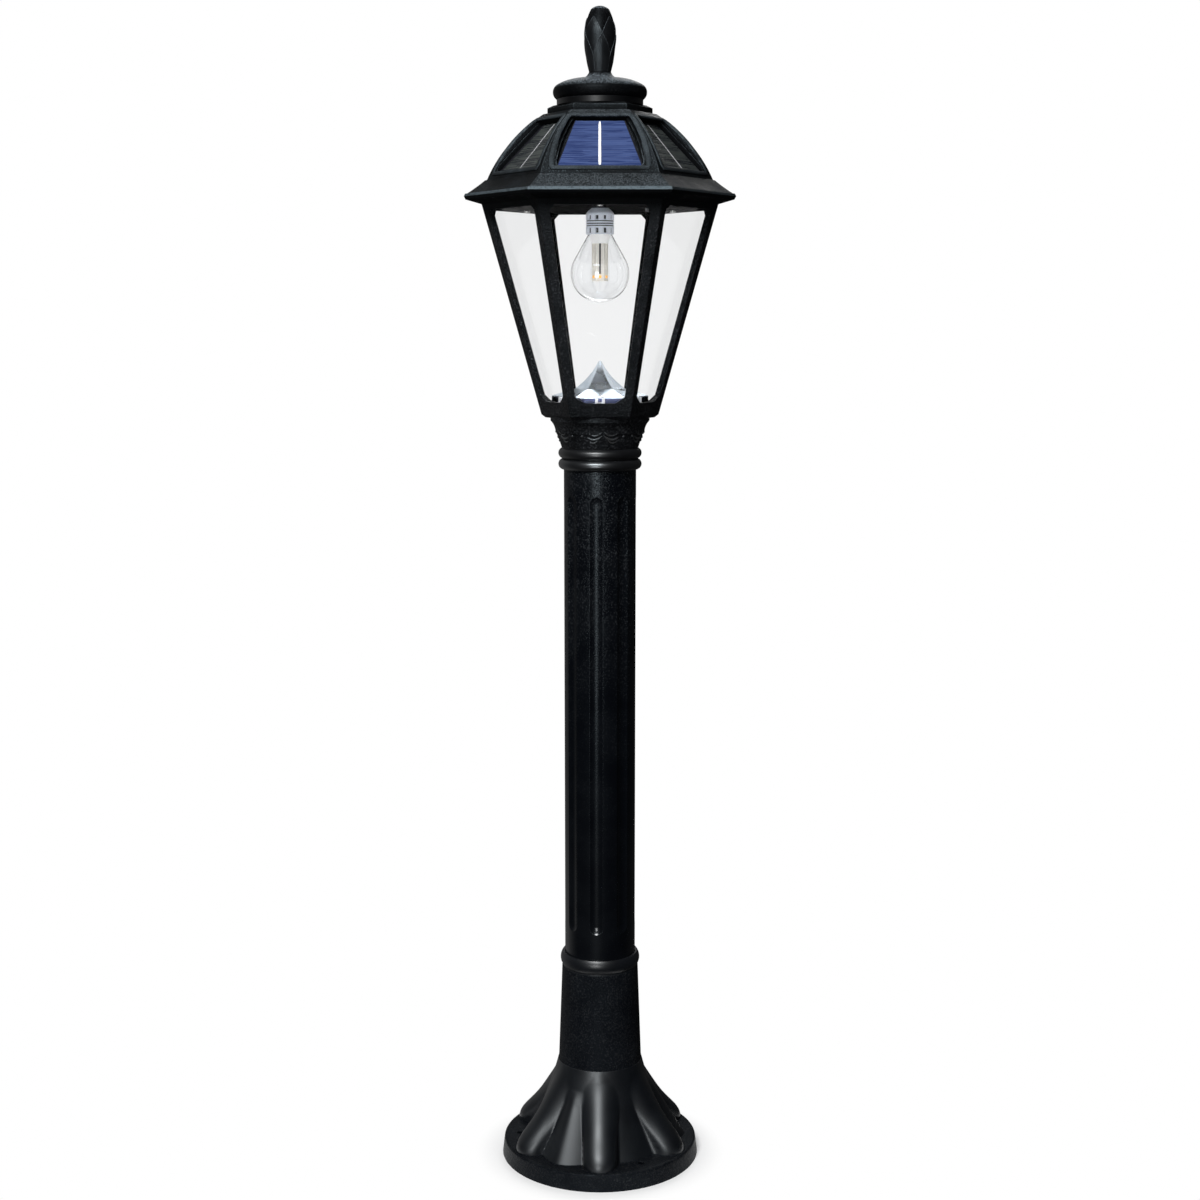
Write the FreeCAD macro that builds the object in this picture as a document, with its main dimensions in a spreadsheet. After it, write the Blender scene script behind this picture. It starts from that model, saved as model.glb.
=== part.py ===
import FreeCAD, Part
import math
import os
import types
import Sketcher

# Solar path light: a hexagonal lantern with a ribbed solar roof on a fluted post and a petal-lobed foot.
# Millimetres, +Z up, origin on the ground in the middle of the foot, front towards -Y.

DRIVING_SIZES = [
    # foot
    ("foot_rim_r", 107, "flange radius on the ground"),
    ("foot_edge_r", 105, "flange radius at its top edge"),
    ("foot_edge_z", 18.5, "flange height"),
    ("foot_edge_round", 2.5, "rounding of the flange's top edge"),
    ("valley_r", 80, "where the flare between two lobes meets the flange"),
    ("flare_arc_r", 400, "radius of that flare"),
    ("flare_top_r", 45.3, "sleeve radius where the flare begins"),
    ("flare_top_z", 107.4, "height where the flare begins"),
    ("sleeve_step", 0.4, "step between the flare and the sleeve"),
    ("lobe_r", 18, "half width of a lobe"),
    ("lobe_tip_r", 99, "reach of a lobe on the flange"),
    ("lobe_nose_z", 29, "height of a lobe's blunt end"),
    ("lobe_draft", 0.5, "draft of a lobe's blunt end"),
    ("lobe_sink", 0.8, "depth of a lobe's point in the sleeve"),
    ("leaf_tip_r", 95, "reach of a leaf's crease on the flange"),
    ("leaf_half", 23, "half width of a leaf on the flange"),
    ("leaf_top_z", 94, "height of a leaf's point"),
    ("leaf_shoulder", 4, "reach of a leaf's sides past the valley"),
    ("leaf_back", 22, "depth of a leaf behind the valley"),
    ("leaf_sink", 4, "depth of a leaf in the flange"),
    ("leaf_point_half", 2.2, "half width of a leaf's point"),
    ("leaf_point_out", 1.5, "reach of a leaf's point past the sleeve"),
    ("anchor_circle_r", 88, "circle of the anchor holes"),
    ("anchor_hole_r", 3.75, "anchor hole radius"),
    ("sleeve_top_r", 41, "sleeve radius under the bead"),
    ("sleeve_top_z", 213, "sleeve height under the bead"),
    ("bead_r", 42.7, "bead radius"),
    ("bead_tall", 14.5, "bead height"),
    ("bead_step", 1.5, "height of the groove under the bead"),
    ("bead_groove", 0.8, "depth of the groove under the bead"),
    ("foot_hollow_r", 66, "hollow under the foot"),
    ("post_seat_z", 60, "ledge that the post stands on"),
    ("seat_wide", 8, "width of that ledge"),
    ("seat_thick", 8, "thickness of that ledge"),
    # post
    ("post_r", 37.8, "post radius"),
    ("post_wall", 4.7, "post wall"),
    ("post_top_z", 752, "height of the post's top end"),
    ("flute_r", 12, "radius of the flute cutter"),
    ("flute_deep", 2.8, "flute depth"),
    ("flute_low_z", 265, "centre of a flute's lower rounded end"),
    ("flute_high_z", 718, "centre of a flute's upper rounded end"),
    ("fit", 0.3, "clearance of a slip fit"),
    # rings and cup
    ("ring_r", 43.5, "radius of the two neck rings"),
    ("ring_tall", 11.4, "height of each ring"),
    ("ring_swell", 4.8, "how far a ring swells out"),
    ("spigot_long", 45, "length of the lantern's spigot in the post"),
    ("spigot_wall", 6, "spigot wall"),
    ("cup_foot_r", 40, "cup radius above the ring"),
    ("cup_band_r", 45.2, "cup radius at the top of the ornament band"),
    ("cup_band_tall", 16, "height of the ornament band"),
    ("cup_step", 1.2, "step where the cove overhangs the band"),
    ("cup_cove_r", 51.6, "cup radius under the frame"),
    ("cup_cove_tall", 12, "height of the cove"),
    ("cup_cove_arc", 18, "radius of the cove"),
    ("cup_rim", 3, "plain rim between the cove and the frame"),
    # lantern frame
    ("frame_under_r", 56.7, "corner radius of the frame's underside"),
    ("frame_bevel", 3.2, "height of the bevel under the frame"),
    ("frame_foot_r", 61, "corner radius at the frame's foot"),
    ("frame_top_r", 121.3, "corner radius at the frame's top"),
    ("frame_tall", 214.4, "height of the sloping frame"),
    ("frame_wall", 6.2, "frame wall, measured level"),
    ("floor_up", 8.8, "lantern floor above the frame's foot"),
    ("sill_up", 13.7, "window sill above the frame's foot"),
    ("head_down", 5.6, "window head below the frame's top"),
    ("bar_foot", 8.2, "width of a corner bar's half at the sill"),
    ("bar_head", 10.1, "width of a corner bar's half at the head"),
    ("gusset_low", 9, "gusset along the sill"),
    ("gusset_high", 5.5, "gusset along the head"),
    # panes, clips and reflector
    ("pane_thick", 3, "pane thickness"),
    ("pane_head_down", 4.5, "pane top below the frame's top"),
    ("pane_play", 0.8, "play at each upright edge of a pane"),
    ("clip_wide", 10, "clip width"),
    ("clip_thick", 2.4, "clip thickness"),
    ("clip_tall", 10.5, "clip height"),
    ("notch_wide", 4, "width of the notch in a clip's top"),
    ("notch_deep", 4.5, "depth of that notch"),
    ("tray_tall", 11, "height of the reflector's tray"),
    ("tray_gap", 3.2, "gap from the panes to the tray"),
    ("skirt_tall", 7.2, "height of the slope from the tray's edge to the cone"),
    ("cone_foot_r", 25.7, "corner radius of the reflector cone's foot"),
    ("cone_mid_r", 11.3, "corner radius half way up the cone"),
    ("cone_mid_up", 13.1, "height of that level above the cone's foot"),
    ("cone_tall", 28.3, "height of the cone"),
    ("cone_tip_r", 1.2, "corner radius of the cone's tip"),
    # roof
    ("lip_r", 139.5, "corner radius of the eave"),
    ("lip_up", 4.7, "eave lip above the frame's top"),
    ("lip_thick", 3.4, "height of the lip's leaning face"),
    ("lip_lean", 1.8, "how far the lip's face leans in"),
    ("lip_bevel_tall", 2.6, "height of the bevel on the lip"),
    ("lip_bevel_in", 1.4, "width of the bevel on the lip"),
    ("lip_ledge", 1.8, "flat ledge behind the bevel"),
    ("eave_mid_r", 126.2, "corner radius half way up the eave"),
    ("eave_tall", 13.4, "height of the eave's concave slope"),
    ("eave_top_r", 117.3, "corner radius at the eave's top"),
    ("dome_step", 1.6, "ledge between the eave and the dome"),
    ("dome_low_r", 106.2, "corner radius low on the dome"),
    ("dome_low_up", 17.9, "height of that level above the dome's foot"),
    ("dome_high_r", 87.2, "corner radius high on the dome"),
    ("dome_high_up", 41.8, "height of that level above the dome's foot"),
    ("dome_top_r", 57.7, "corner radius at the dome's top"),
    ("dome_tall", 65.7, "dome height"),
    ("crown_r", 53.5, "corner radius of the crown block"),
    ("crown_top_r", 47.4, "corner radius of the crown's top face"),
    ("crown_tall", 5.8, "crown height up to its bevel"),
    ("crown_bevel", 2.7, "height of the crown's bevel"),
    ("roof_bore_top", 42, "half width of the roof's hollow at its top"),
    ("roof_bore_up", 14, "height of the hollow's upright wall"),
    ("roof_bore_tall", 80, "height of the hollow"),
    # solar panels
    ("cell_foot_out", 95, "distance of a panel's lower edge from the axis"),
    ("cell_foot_up", 6, "panel's lower edge above the dome's foot"),
    ("cell_head_out", 52, "distance of a panel's upper edge from the axis"),
    ("cell_head_up", 54.8, "panel's upper edge above the dome's foot"),
    ("cell_foot_half", 43, "half width of a panel at its lower edge"),
    ("cell_head_half", 25, "half width of a panel at its upper edge"),
    ("cell_thick", 3, "panel thickness"),
    ("cell_round", 4, "rounding of a panel recess's lower corners"),
    ("rib_arc", 200, "curve of a recess's long sides"),
    ("rib_border", 2.2, "width of the step along a rib"),
    ("rib_step_up", 4.4, "height of that step above the panel"),
    # finial
    ("neck_r", 44, "neck ring radius"),
    ("neck_tall", 5.5, "neck ring height"),
    ("bun_r", 47.9, "disc radius"),
    ("bun_tall", 18.5, "disc height"),
    ("bun_under", 0.6, "step of the disc's root inside the neck ring"),
    ("bun_shoulder", 3.7, "height of the disc's crown above its edge"),
    ("bud_root_r", 14.4, "bud radius where it grows from the disc"),
    ("bud_root_up", 2, "height of that root above the disc"),
    ("bud_foot_r", 10.7, "bud radius at its waist"),
    ("bud_waist_up", 8, "waist above the disc"),
    ("bud_r", 15.6, "bud's largest radius"),
    ("bud_wide_up", 44, "height of the largest radius above the disc"),
    ("bud_tip_r", 9.2, "bud radius under its tip"),
    ("bud_tip_tall", 3.5, "height of the bud's round tip"),
    ("bud_tall", 74, "bud height above the disc"),
    ("bud_side_arc", 222, "radius of the bud's lower side"),
    ("bud_top_arc", 55.5, "radius of the bud's upper side"),
    ("stud_r", 4, "stud radius"),
    ("stud_long", 46, "stud length"),
    ("stud_past", 2, "stud below its nut"),
    ("nut_r", 8, "corner radius of the stud's nut"),
    ("nut_tall", 6.5, "nut height"),
    # ceiling and inner works
    ("ceiling_gap", 7, "gap at the ceiling plate's corners to the frame"),
    ("ceiling_ledge", 9.8, "width of the ceiling plate's rim under the roof"),
    ("ceiling_thick", 4, "ceiling plate thickness"),
    ("screw_r", 1.5, "shank radius of the ceiling screws"),
    ("screw_head_r", 3, "head radius of the ceiling screws"),
    ("screw_head_tall", 2, "head height of the ceiling screws"),
    ("screw_long", 12, "shank length of the ceiling screws"),
    ("holder_r", 13, "lampholder radius"),
    ("holder_tall", 30, "lampholder height"),
    ("holder_roof", 4, "thickness of the lampholder's end"),
    ("cap_r", 6.9, "bulb cap radius"),
    ("cap_tall", 22, "bulb cap height"),
    ("contact_r", 3, "bulb contact radius"),
    ("contact_tall", 2.4, "bulb contact height"),
    ("cell_pack_r", 9.2, "battery cell radius"),
    ("cell_pack_long", 65, "battery cell length"),
    ("cell_pack_out", 48, "battery distance behind the axis"),
    ("cradle_wall", 2.2, "battery cradle wall"),
    ("board_long", 70, "circuit board length"),
    ("board_wide", 34, "circuit board width"),
    ("board_thick", 1.6, "circuit board thickness"),
    ("board_out", 46, "circuit board distance in front of the axis"),
    ("pillar_r", 3, "radius of the pillars under the board"),
    ("pillar_tall", 6, "height of the pillars under the board"),
    ("pillar_inset", 4.5, "pillar centre from the board's edges"),
    ("switch_out", 48, "switch distance beside the axis"),
    ("switch_long", 20, "switch body length"),
    ("switch_wide", 9, "switch body width"),
    ("switch_tall", 7, "switch body height"),
    ("switch_travel", 4.6, "travel of the switch's slider"),
    ("knob_long", 5, "slider length"),
    ("knob_wide", 3.4, "slider width"),
    ("knob_down", 3, "slider below the ceiling"),
    ("knob_up", 4, "slider inside the switch body"),
    ("grub_r", 3, "grub screw radius"),
    ("grub_sunk", 0.5, "grub screw below the surface"),
    ("grub_foot_z", 150, "height of the grub screw in the sleeve"),
    ("grub_neck_z", 738, "height of the grub screw in the post's top"),
    # bulb
    ("bulb_r", 30, "glass radius"),
    ("bulb_centre_down", 69.7, "centre of the glass below the frame's top"),
    ("bulb_neck_r", 12.6, "glass radius at the collar"),
    ("bulb_wall", 1, "glass thickness"),
    ("shoulder_up", 16, "level where the round glass turns into the neck"),
    ("collar_r", 14.4, "bulb collar radius"),
    ("collar_top_r", 8.4, "bulb collar radius at the cap"),
    ("collar_taper", 10.2, "height of the collar's taper"),
    ("collar_tall", 20, "height of the collar's straight part"),
    ("collar_lip", 1.5, "depth of the glass inside the collar"),
    ("stem_tall", 11, "height of the white stem cone"),
    ("column_r", 8.4, "corner radius of the light column"),
    ("column_long", 38, "length of the light column"),
    ("slit_wide", 1.6, "width of the column's slits"),
    ("slit_deep", 1.2, "depth of the column's slits"),
    ("slit_long", 26, "length of the column's slits"),
    ("chip_wide", 2.6, "width of a light chip"),
    ("chip_thick", 0.8, "thickness of a light chip"),
    ("chip_up", 3.2, "chip above the column's lower end"),
]

HEX_FLAT = math.cos(math.pi / 6)
ROUND_ABOUT = 6
SIXTH_TURN = 60
QUARTER_TURN = 90
CUT_PAST = 1

doc = FreeCAD.newDocument("PathLight")
sheet = doc.addObject("Spreadsheet::Sheet", "sizes")


class Size:
    # A length that keeps its number together with the sheet expression behind it.
    def __init__(self, value, text):
        self.value = value
        self.text = text

    def __add__(self, other):
        other = as_size(other)
        return Size(self.value + other.value, f"({self.text} + {other.text})")

    def __sub__(self, other):
        other = as_size(other)
        return Size(self.value - other.value, f"({self.text} - {other.text})")

    def __mul__(self, other):
        other = as_size(other)
        return Size(self.value * other.value, f"({self.text} * {other.text})")

    def __truediv__(self, other):
        other = as_size(other)
        return Size(self.value / other.value, f"({self.text} / {other.text})")

    def __neg__(self):
        return Size(-self.value, f"(-1 * {self.text})")


def as_size(item):
    if isinstance(item, Size):
        return item
    return Size(float(item), f"{float(item):.9g}")


def fill_sheet():
    table = {}
    for row, (alias, value, meaning) in enumerate(DRIVING_SIZES, start=1):
        sheet.set(f"A{row}", meaning)
        sheet.set(f"B{row}", str(value))
        sheet.setAlias(f"B{row}", alias)
        table[alias] = Size(float(value), f"sizes.{alias}")
    doc.recompute()
    return types.SimpleNamespace(**table)


def tilt_angle(rise, run):
    rise = as_size(rise)
    run = as_size(run)
    degrees = math.degrees(math.atan2(rise.value, run.value))
    return Size(degrees, f"atan2({rise.text}; {run.text}) / 1 deg")


def root_of(size):
    return Size(math.sqrt(size.value), f"sqrt({size.text})")


def bulge(half, rise):
    # Radius of the arc that stands up by rise over a chord of twice half.
    return (half * half + rise * rise) / (rise * 2)


def bind(item, prop, size):
    item.setExpression(prop, as_size(size).text)


def between(low, high, share):
    return low + (high - low) * share


# Bodies, sketches and features

def new_body(name, turn=0):
    body = doc.addObject("PartDesign::Body", name)
    body.Label = name
    if turn:
        body.Placement = FreeCAD.Placement(FreeCAD.Vector(), FreeCAD.Rotation(FreeCAD.Vector(0, 0, 1), turn))
    return body


def origin_part(body, role):
    for feature in body.Origin.OriginFeatures:
        if feature.Role == role:
            return feature
    raise ValueError(role)


def new_sketch(body, name, role="XY_Plane", lift=None):
    sketch = body.newObject("Sketcher::SketchObject", name)
    sketch.AttachmentSupport = [(origin_part(body, role), "")]
    sketch.MapMode = "FlatFace"
    if lift is not None:
        bind(sketch, "AttachmentOffset.Base.z", lift)
    return sketch


def hold(sketch, kind, *places, size):
    size = as_size(size)
    index = sketch.addConstraint(Sketcher.Constraint(kind, *places, size.value))
    sketch.setExpression(f"Constraints[{index}]", size.text)


def arc_between(start, stop, radius):
    # Shorter arc from start to stop; a radius below zero turns right on the way, above zero left.
    chord = stop - start
    left = FreeCAD.Vector(-chord.y, chord.x, 0).normalize()
    reach = math.sqrt(radius ** 2 - (chord.Length / 2) ** 2)
    centre = (start + stop) * 0.5 + left * math.copysign(reach, radius)
    first, last = (start, stop) if radius > 0 else (stop, start)
    angles = [math.atan2(spot.y - centre.y, spot.x - centre.x) for spot in (first, last)]
    circle = Part.Circle(centre, FreeCAD.Vector(0, 0, 1), abs(radius))
    return Part.ArcOfCircle(circle, angles[0], angles[1])


def draw(sketch, points):
    # Closed outline through (across, up) points; a third item is the radius of the arc that leaves the point.
    spots = [FreeCAD.Vector(as_size(p[0]).value, as_size(p[1]).value, 0) for p in points]
    ends = []
    for index, point in enumerate(points):
        start = spots[index]
        stop = spots[(index + 1) % len(spots)]
        if len(point) == 2:
            side = sketch.addGeometry(Part.LineSegment(start, stop), False)
            ends.append((side, 1, 2))
            continue
        radius = as_size(point[2])
        side = sketch.addGeometry(arc_between(start, stop, radius.value), False)
        ends.append((side, 1, 2) if radius.value > 0 else (side, 2, 1))
        hold(sketch, "Radius", side, size=radius if radius.value > 0 else -radius)
    for index, (side, first, last) in enumerate(ends):
        following = ends[(index + 1) % len(ends)]
        sketch.addConstraint(Sketcher.Constraint("Coincident", side, last, following[0], following[1]))
        hold(sketch, "DistanceX", -1, 1, side, first, size=points[index][0])
        hold(sketch, "DistanceY", -1, 1, side, first, size=points[index][1])
    return sketch


def draw_circle(sketch, across, up, radius):
    spot = FreeCAD.Vector(as_size(across).value, as_size(up).value, 0)
    ring = sketch.addGeometry(Part.Circle(spot, FreeCAD.Vector(0, 0, 1), as_size(radius).value), False)
    hold(sketch, "DistanceX", -1, 1, ring, 3, size=across)
    hold(sketch, "DistanceY", -1, 1, ring, 3, size=up)
    hold(sketch, "Radius", ring, size=radius)
    return sketch


def hexagon(corner):
    # Six corners of a hexagon, the first on the X axis.
    angles = [math.radians(SIXTH_TURN * index) for index in range(ROUND_ABOUT)]
    return [(as_size(corner) * math.cos(angle), as_size(corner) * math.sin(angle)) for angle in angles]


def revolve(body, name, points, cut=False):
    sketch = draw(new_sketch(body, name + "Profile", "XZ_Plane"), points)
    feature = body.newObject("PartDesign::Groove" if cut else "PartDesign::Revolution", name)
    feature.Profile = sketch
    feature.ReferenceAxis = (sketch, ["V_Axis"])
    feature.Angle = 360
    return feature


def loft(body, name, sketches, cut=False, ruled=True):
    feature = body.newObject("PartDesign::SubtractiveLoft" if cut else "PartDesign::AdditiveLoft", name)
    feature.Profile = sketches[0]
    feature.Sections = sketches[1:]
    feature.Ruled = ruled
    return feature


def hex_loft(body, name, levels, cut=False, ruled=True):
    # Loft through hexagons, each level a (corner radius, height) pair.
    sketches = []
    for index, (corner, height) in enumerate(levels):
        sketches.append(draw(new_sketch(body, f"{name}Hexagon{index}", lift=height), hexagon(corner)))
    return loft(body, name, sketches, cut, ruled)


def pad(body, name, sketch, length, reverse=False):
    feature = body.newObject("PartDesign::Pad", name)
    feature.Profile = sketch
    feature.Reversed = reverse
    bind(feature, "Length", length)
    return feature


def pocket(body, name, sketch, length, reverse=False):
    feature = body.newObject("PartDesign::Pocket", name)
    feature.Profile = sketch
    feature.Reversed = reverse
    bind(feature, "Length", length)
    return feature


def around(body, name, features, count):
    feature = body.newObject("PartDesign::PolarPattern", name)
    feature.Originals = features
    feature.Axis = (origin_part(body, "Z_Axis"), [""])
    feature.Angle = 360
    feature.Occurrences = count
    body.Tip = feature
    return feature


def solid(kind, name, place=(0, 0, 0), **sizes):
    item = doc.addObject(kind, name)
    item.Label = name
    for prop, size in sizes.items():
        bind(item, prop, size)
    for axis, size in zip("xyz", place):
        bind(item, f"Placement.Base.{axis}", size)
    return item


def turned(item, turn):
    # Swings a solid about the upright axis, together with its place.
    swing = FreeCAD.Placement(FreeCAD.Vector(), FreeCAD.Rotation(FreeCAD.Vector(0, 0, 1), turn))
    holder = doc.addObject("Part::Compound", item.Name + "Swing")
    holder.Links = [item]
    holder.Placement = swing
    return holder


def group(name, items):
    bundle = doc.addObject("Part::Compound", name)
    bundle.Label = name
    bundle.Links = items
    return bundle


s = fill_sheet()

# Heights that stack up from the ground
bead_low = s.sleeve_top_z + s.bead_step
bead_top = bead_low + s.bead_tall
ring_low = s.post_top_z + s.ring_tall
ring_top = ring_low + s.ring_tall
band_top = ring_top + s.cup_band_tall
cove_top = band_top + s.cup_cove_tall
frame_under = cove_top + s.cup_rim
frame_foot = frame_under + s.frame_bevel
frame_top = frame_foot + s.frame_tall
floor_z = frame_foot + s.floor_up
sill_z = frame_foot + s.sill_up
head_z = frame_top - s.head_down
tray_top = floor_z + s.tray_tall
cone_foot = tray_top + s.skirt_tall
lip_low = frame_top + s.lip_up
lip_edge = lip_low + s.lip_thick
lip_top = lip_edge + s.lip_bevel_tall
dome_foot = lip_top + s.eave_tall
dome_top = dome_foot + s.dome_tall
crown_top = dome_top + s.crown_tall + s.crown_bevel
hollow_top = frame_top + s.roof_bore_tall
ceiling_low = frame_top - s.ceiling_thick

# Fits
post_bore = s.post_r - s.post_wall
spigot_r = post_bore - s.fit
spigot_in = spigot_r - s.spigot_wall
ring_root = s.ring_r - s.ring_swell
ring_arc = bulge(s.ring_tall / 2, s.ring_swell)

FLUTE_COUNT = 8
FLUTE_BEARING = 264
LOBE_BEARING = 30
LOBE_STEPS = (0.84, 0.54, 0.27)
LOBE_CURVE = 1.35
GUSSET_RISE = 0.75
CELL_CORNER = 1.15
SCREW_BEARINGS = (30, 150, 270)


# Foot with lobes, leaves and anchor holes

def foot_outline():
    bead_root = s.sleeve_top_r - s.bead_groove
    return [
        (0, 0),
        (s.foot_rim_r, 0),
        (s.foot_edge_r, s.foot_edge_z - s.foot_edge_round, s.foot_edge_round),
        (s.foot_edge_r - s.foot_edge_round, s.foot_edge_z),
        (s.valley_r, s.foot_edge_z, -s.flare_arc_r),
        (s.flare_top_r, s.flare_top_z),
        (s.flare_top_r - s.sleeve_step, s.flare_top_z),
        (s.sleeve_top_r, s.sleeve_top_z),
        (bead_root, s.sleeve_top_z),
        (bead_root, bead_low, bulge(s.bead_tall / 2, s.bead_r - bead_root)),
        (bead_root, bead_top),
        (0, bead_top),
    ]


def foot_hollow():
    # Bore for the post above its ledge, and the open cone under it.
    bore = s.post_r + s.fit
    ledge_in = bore - s.seat_wide
    return [
        (0, 0),
        (s.foot_hollow_r, 0),
        (ledge_in, s.post_seat_z - s.seat_thick),
        (ledge_in, s.post_seat_z),
        (bore, s.post_seat_z),
        (bore, bead_top),
        (0, bead_top),
    ]


def lobe_levels():
    # Circles from the flange up to the sleeve, each a (reach, height) pair.
    levels = [(s.lobe_tip_r, s.foot_edge_z / 2), (s.lobe_tip_r - s.lobe_draft, s.lobe_nose_z)]
    for step in LOBE_STEPS:
        reach = between(s.flare_top_r, s.lobe_tip_r, step ** LOBE_CURVE)
        levels.append((reach, between(s.flare_top_z, s.lobe_nose_z, step)))
    levels.append((s.flare_top_r - s.lobe_sink, s.flare_top_z))
    return levels


def leaf_outline(tip, shoulder, half, back):
    return [(tip, 0), (shoulder, half), (back, half), (back, -half), (shoulder, -half)]


def add_leaves(body):
    low = new_sketch(body, "LeafFoot", lift=s.foot_edge_z - s.leaf_sink)
    draw(low, leaf_outline(s.leaf_tip_r, s.valley_r + s.leaf_shoulder, s.leaf_half, s.valley_r - s.leaf_back))
    high = new_sketch(body, "LeafPoint", lift=s.leaf_top_z)
    sleeve = s.flare_top_r
    point = sleeve + s.leaf_point_out
    draw(high, leaf_outline(point, sleeve - s.lobe_sink, s.leaf_point_half, sleeve - s.leaf_sink))
    around(body, "Leaves", [loft(body, "Leaf", [low, high])], ROUND_ABOUT // 2)


def add_lobes(body):
    bearing = math.radians(LOBE_BEARING)
    circles = []
    for index, (reach, height) in enumerate(lobe_levels()):
        sketch = new_sketch(body, f"LobeCircle{index}", lift=height)
        out = reach - s.lobe_r
        circles.append(draw_circle(sketch, out * math.cos(bearing), out * math.sin(bearing), s.lobe_r))
    around(body, "Lobes", [loft(body, "Lobe", circles, ruled=False)], ROUND_ABOUT)


def make_foot():
    body = new_body("base_foot")
    revolve(body, "FootTurned", foot_outline())
    add_leaves(body)
    add_lobes(body)
    revolve(body, "FootHollow", foot_hollow(), cut=True)
    anchor_sketch = draw_circle(new_sketch(body, "AnchorCircle"), -s.anchor_circle_r, 0, s.anchor_hole_r)
    hole = pocket(body, "AnchorHole", anchor_sketch, s.foot_edge_z + CUT_PAST, reverse=True)
    around(body, "AnchorHoles", [hole], ROUND_ABOUT // 2)
    cut_grub_hole(body, s.grub_foot_z)
    return body


def cut_grub_hole(body, height):
    sketch = draw_circle(new_sketch(body, "GrubCircle", "XZ_Plane"), 0, height, s.grub_r + s.fit)
    body.Tip = pocket(body, "GrubHole", sketch, s.foot_rim_r)


# Fluted post, neck ring and grub screws

def make_post():
    body = new_body("post_tube")
    revolve(body, "PostTurned", [(post_bore, s.post_seat_z), (s.post_r, s.post_seat_z),
                                 (s.post_r, s.post_top_z), (post_bore, s.post_top_z)])
    out = s.post_r + s.flute_r - s.flute_deep
    bearing = math.radians(FLUTE_BEARING)
    cutters = []
    for kind, name, height in (("Cylinder", "Flute", s.flute_low_z), ("Sphere", "FluteLowEnd", s.flute_low_z),
                               ("Sphere", "FluteHighEnd", s.flute_high_z)):
        cutter = body.newObject(f"PartDesign::Subtractive{kind}", name)
        bind(cutter, "Radius", s.flute_r)
        bind(cutter, "Placement.Base.x", out * math.cos(bearing))
        bind(cutter, "Placement.Base.y", out * math.sin(bearing))
        bind(cutter, "Placement.Base.z", height)
        cutters.append(cutter)
    bind(cutters[0], "Height", s.flute_high_z - s.flute_low_z)
    around(body, "Flutes", cutters, FLUTE_COUNT)
    cut_grub_hole(body, s.grub_neck_z)
    return body


def make_collar():
    body = new_body("post_collar")
    revolve(body, "CollarTurned", [(post_bore, s.post_top_z), (ring_root, s.post_top_z, ring_arc),
                                   (ring_root, ring_low), (post_bore, ring_low)])
    return body


def make_grub_screws():
    screws = []
    sleeve_r = between(s.flare_top_r, s.sleeve_top_r,
                       (s.grub_foot_z - s.flare_top_z) / (s.sleeve_top_z - s.flare_top_z))
    spans = (("SleeveGrub", s.grub_foot_z, s.post_r, sleeve_r),
             ("NeckGrub", s.grub_neck_z, spigot_r, s.post_r))
    for name, height, inner, outer in spans:
        head = outer - s.grub_sunk
        grub = solid("Part::Cylinder", name, (0, head, height), Radius=s.grub_r, Height=head - inner - s.fit)
        grub.Placement.Rotation = FreeCAD.Rotation(FreeCAD.Vector(1, 0, 0), QUARTER_TURN)
        screws.append(grub)
    return group("post_screws", screws)


# Lantern frame on its cup

def frame_r(height):
    return between(s.frame_foot_r, s.frame_top_r, (height - frame_foot) / s.frame_tall)


def inner_r(height):
    return frame_r(height) - s.frame_wall / HEX_FLAT


def cup_profile():
    return [
        (spigot_in, ring_low - s.spigot_long),
        (spigot_r, ring_low - s.spigot_long),
        (spigot_r, ring_low),
        (ring_root, ring_low, ring_arc),
        (ring_root, ring_top),
        (s.cup_foot_r, ring_top),
        (s.cup_band_r, band_top),
        (s.cup_band_r + s.cup_step, band_top, -s.cup_cove_arc),
        (s.cup_cove_r, cove_top),
        (s.cup_cove_r, frame_foot),
        (0, frame_foot),
        (0, band_top),
        (spigot_in, band_top),
    ]


def window_outline():
    foot_half = frame_r(sill_z) / 2 - s.bar_foot
    head_half = frame_r(head_z) / 2 - s.bar_head

    def side(height):
        return between(foot_half, head_half, (height - sill_z) / (head_z - sill_z))

    low = sill_z + s.gusset_low * GUSSET_RISE
    high = head_z - s.gusset_high
    right = [(foot_half - s.gusset_low, sill_z), (side(low), low)]
    right += [(side(high), high), (head_half - s.gusset_high, head_z)]
    left = [(-across, up) for across, up in reversed(right)]
    return right + left


def make_frame():
    body = new_body("lantern_frame")
    revolve(body, "CupTurned", cup_profile())
    hex_loft(body, "FrameBevel", [(s.frame_under_r, frame_under), (s.frame_foot_r, frame_foot)])
    hex_loft(body, "FrameOutside", [(s.frame_foot_r, frame_foot), (s.frame_top_r, frame_top)])
    above = frame_top + CUT_PAST
    hex_loft(body, "FrameInside", [(inner_r(floor_z), floor_z), (inner_r(above), above)], cut=True)
    sketch = draw(new_sketch(body, "WindowOutline", "XZ_Plane"), window_outline())
    window = pocket(body, "Window", sketch, s.frame_top_r)
    around(body, "Windows", [window], ROUND_ABOUT)
    return body


# Panes, clips and reflector inside the frame

def leaning_sketch(body, name, out, up, angle):
    # Sketch plane that faces the front at a distance and leans back by the angle.
    sketch = new_sketch(body, name, "XZ_Plane", lift=out)
    bind(sketch, "AttachmentOffset.Base.y", up)
    lean = FreeCAD.Rotation(FreeCAD.Vector(1, 0, 0), angle.value)
    sketch.AttachmentOffset = FreeCAD.Placement(FreeCAD.Vector(0, up.value, out.value), lean)
    bind(sketch, "AttachmentOffset.Rotation.Angle", angle)
    return sketch


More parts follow.
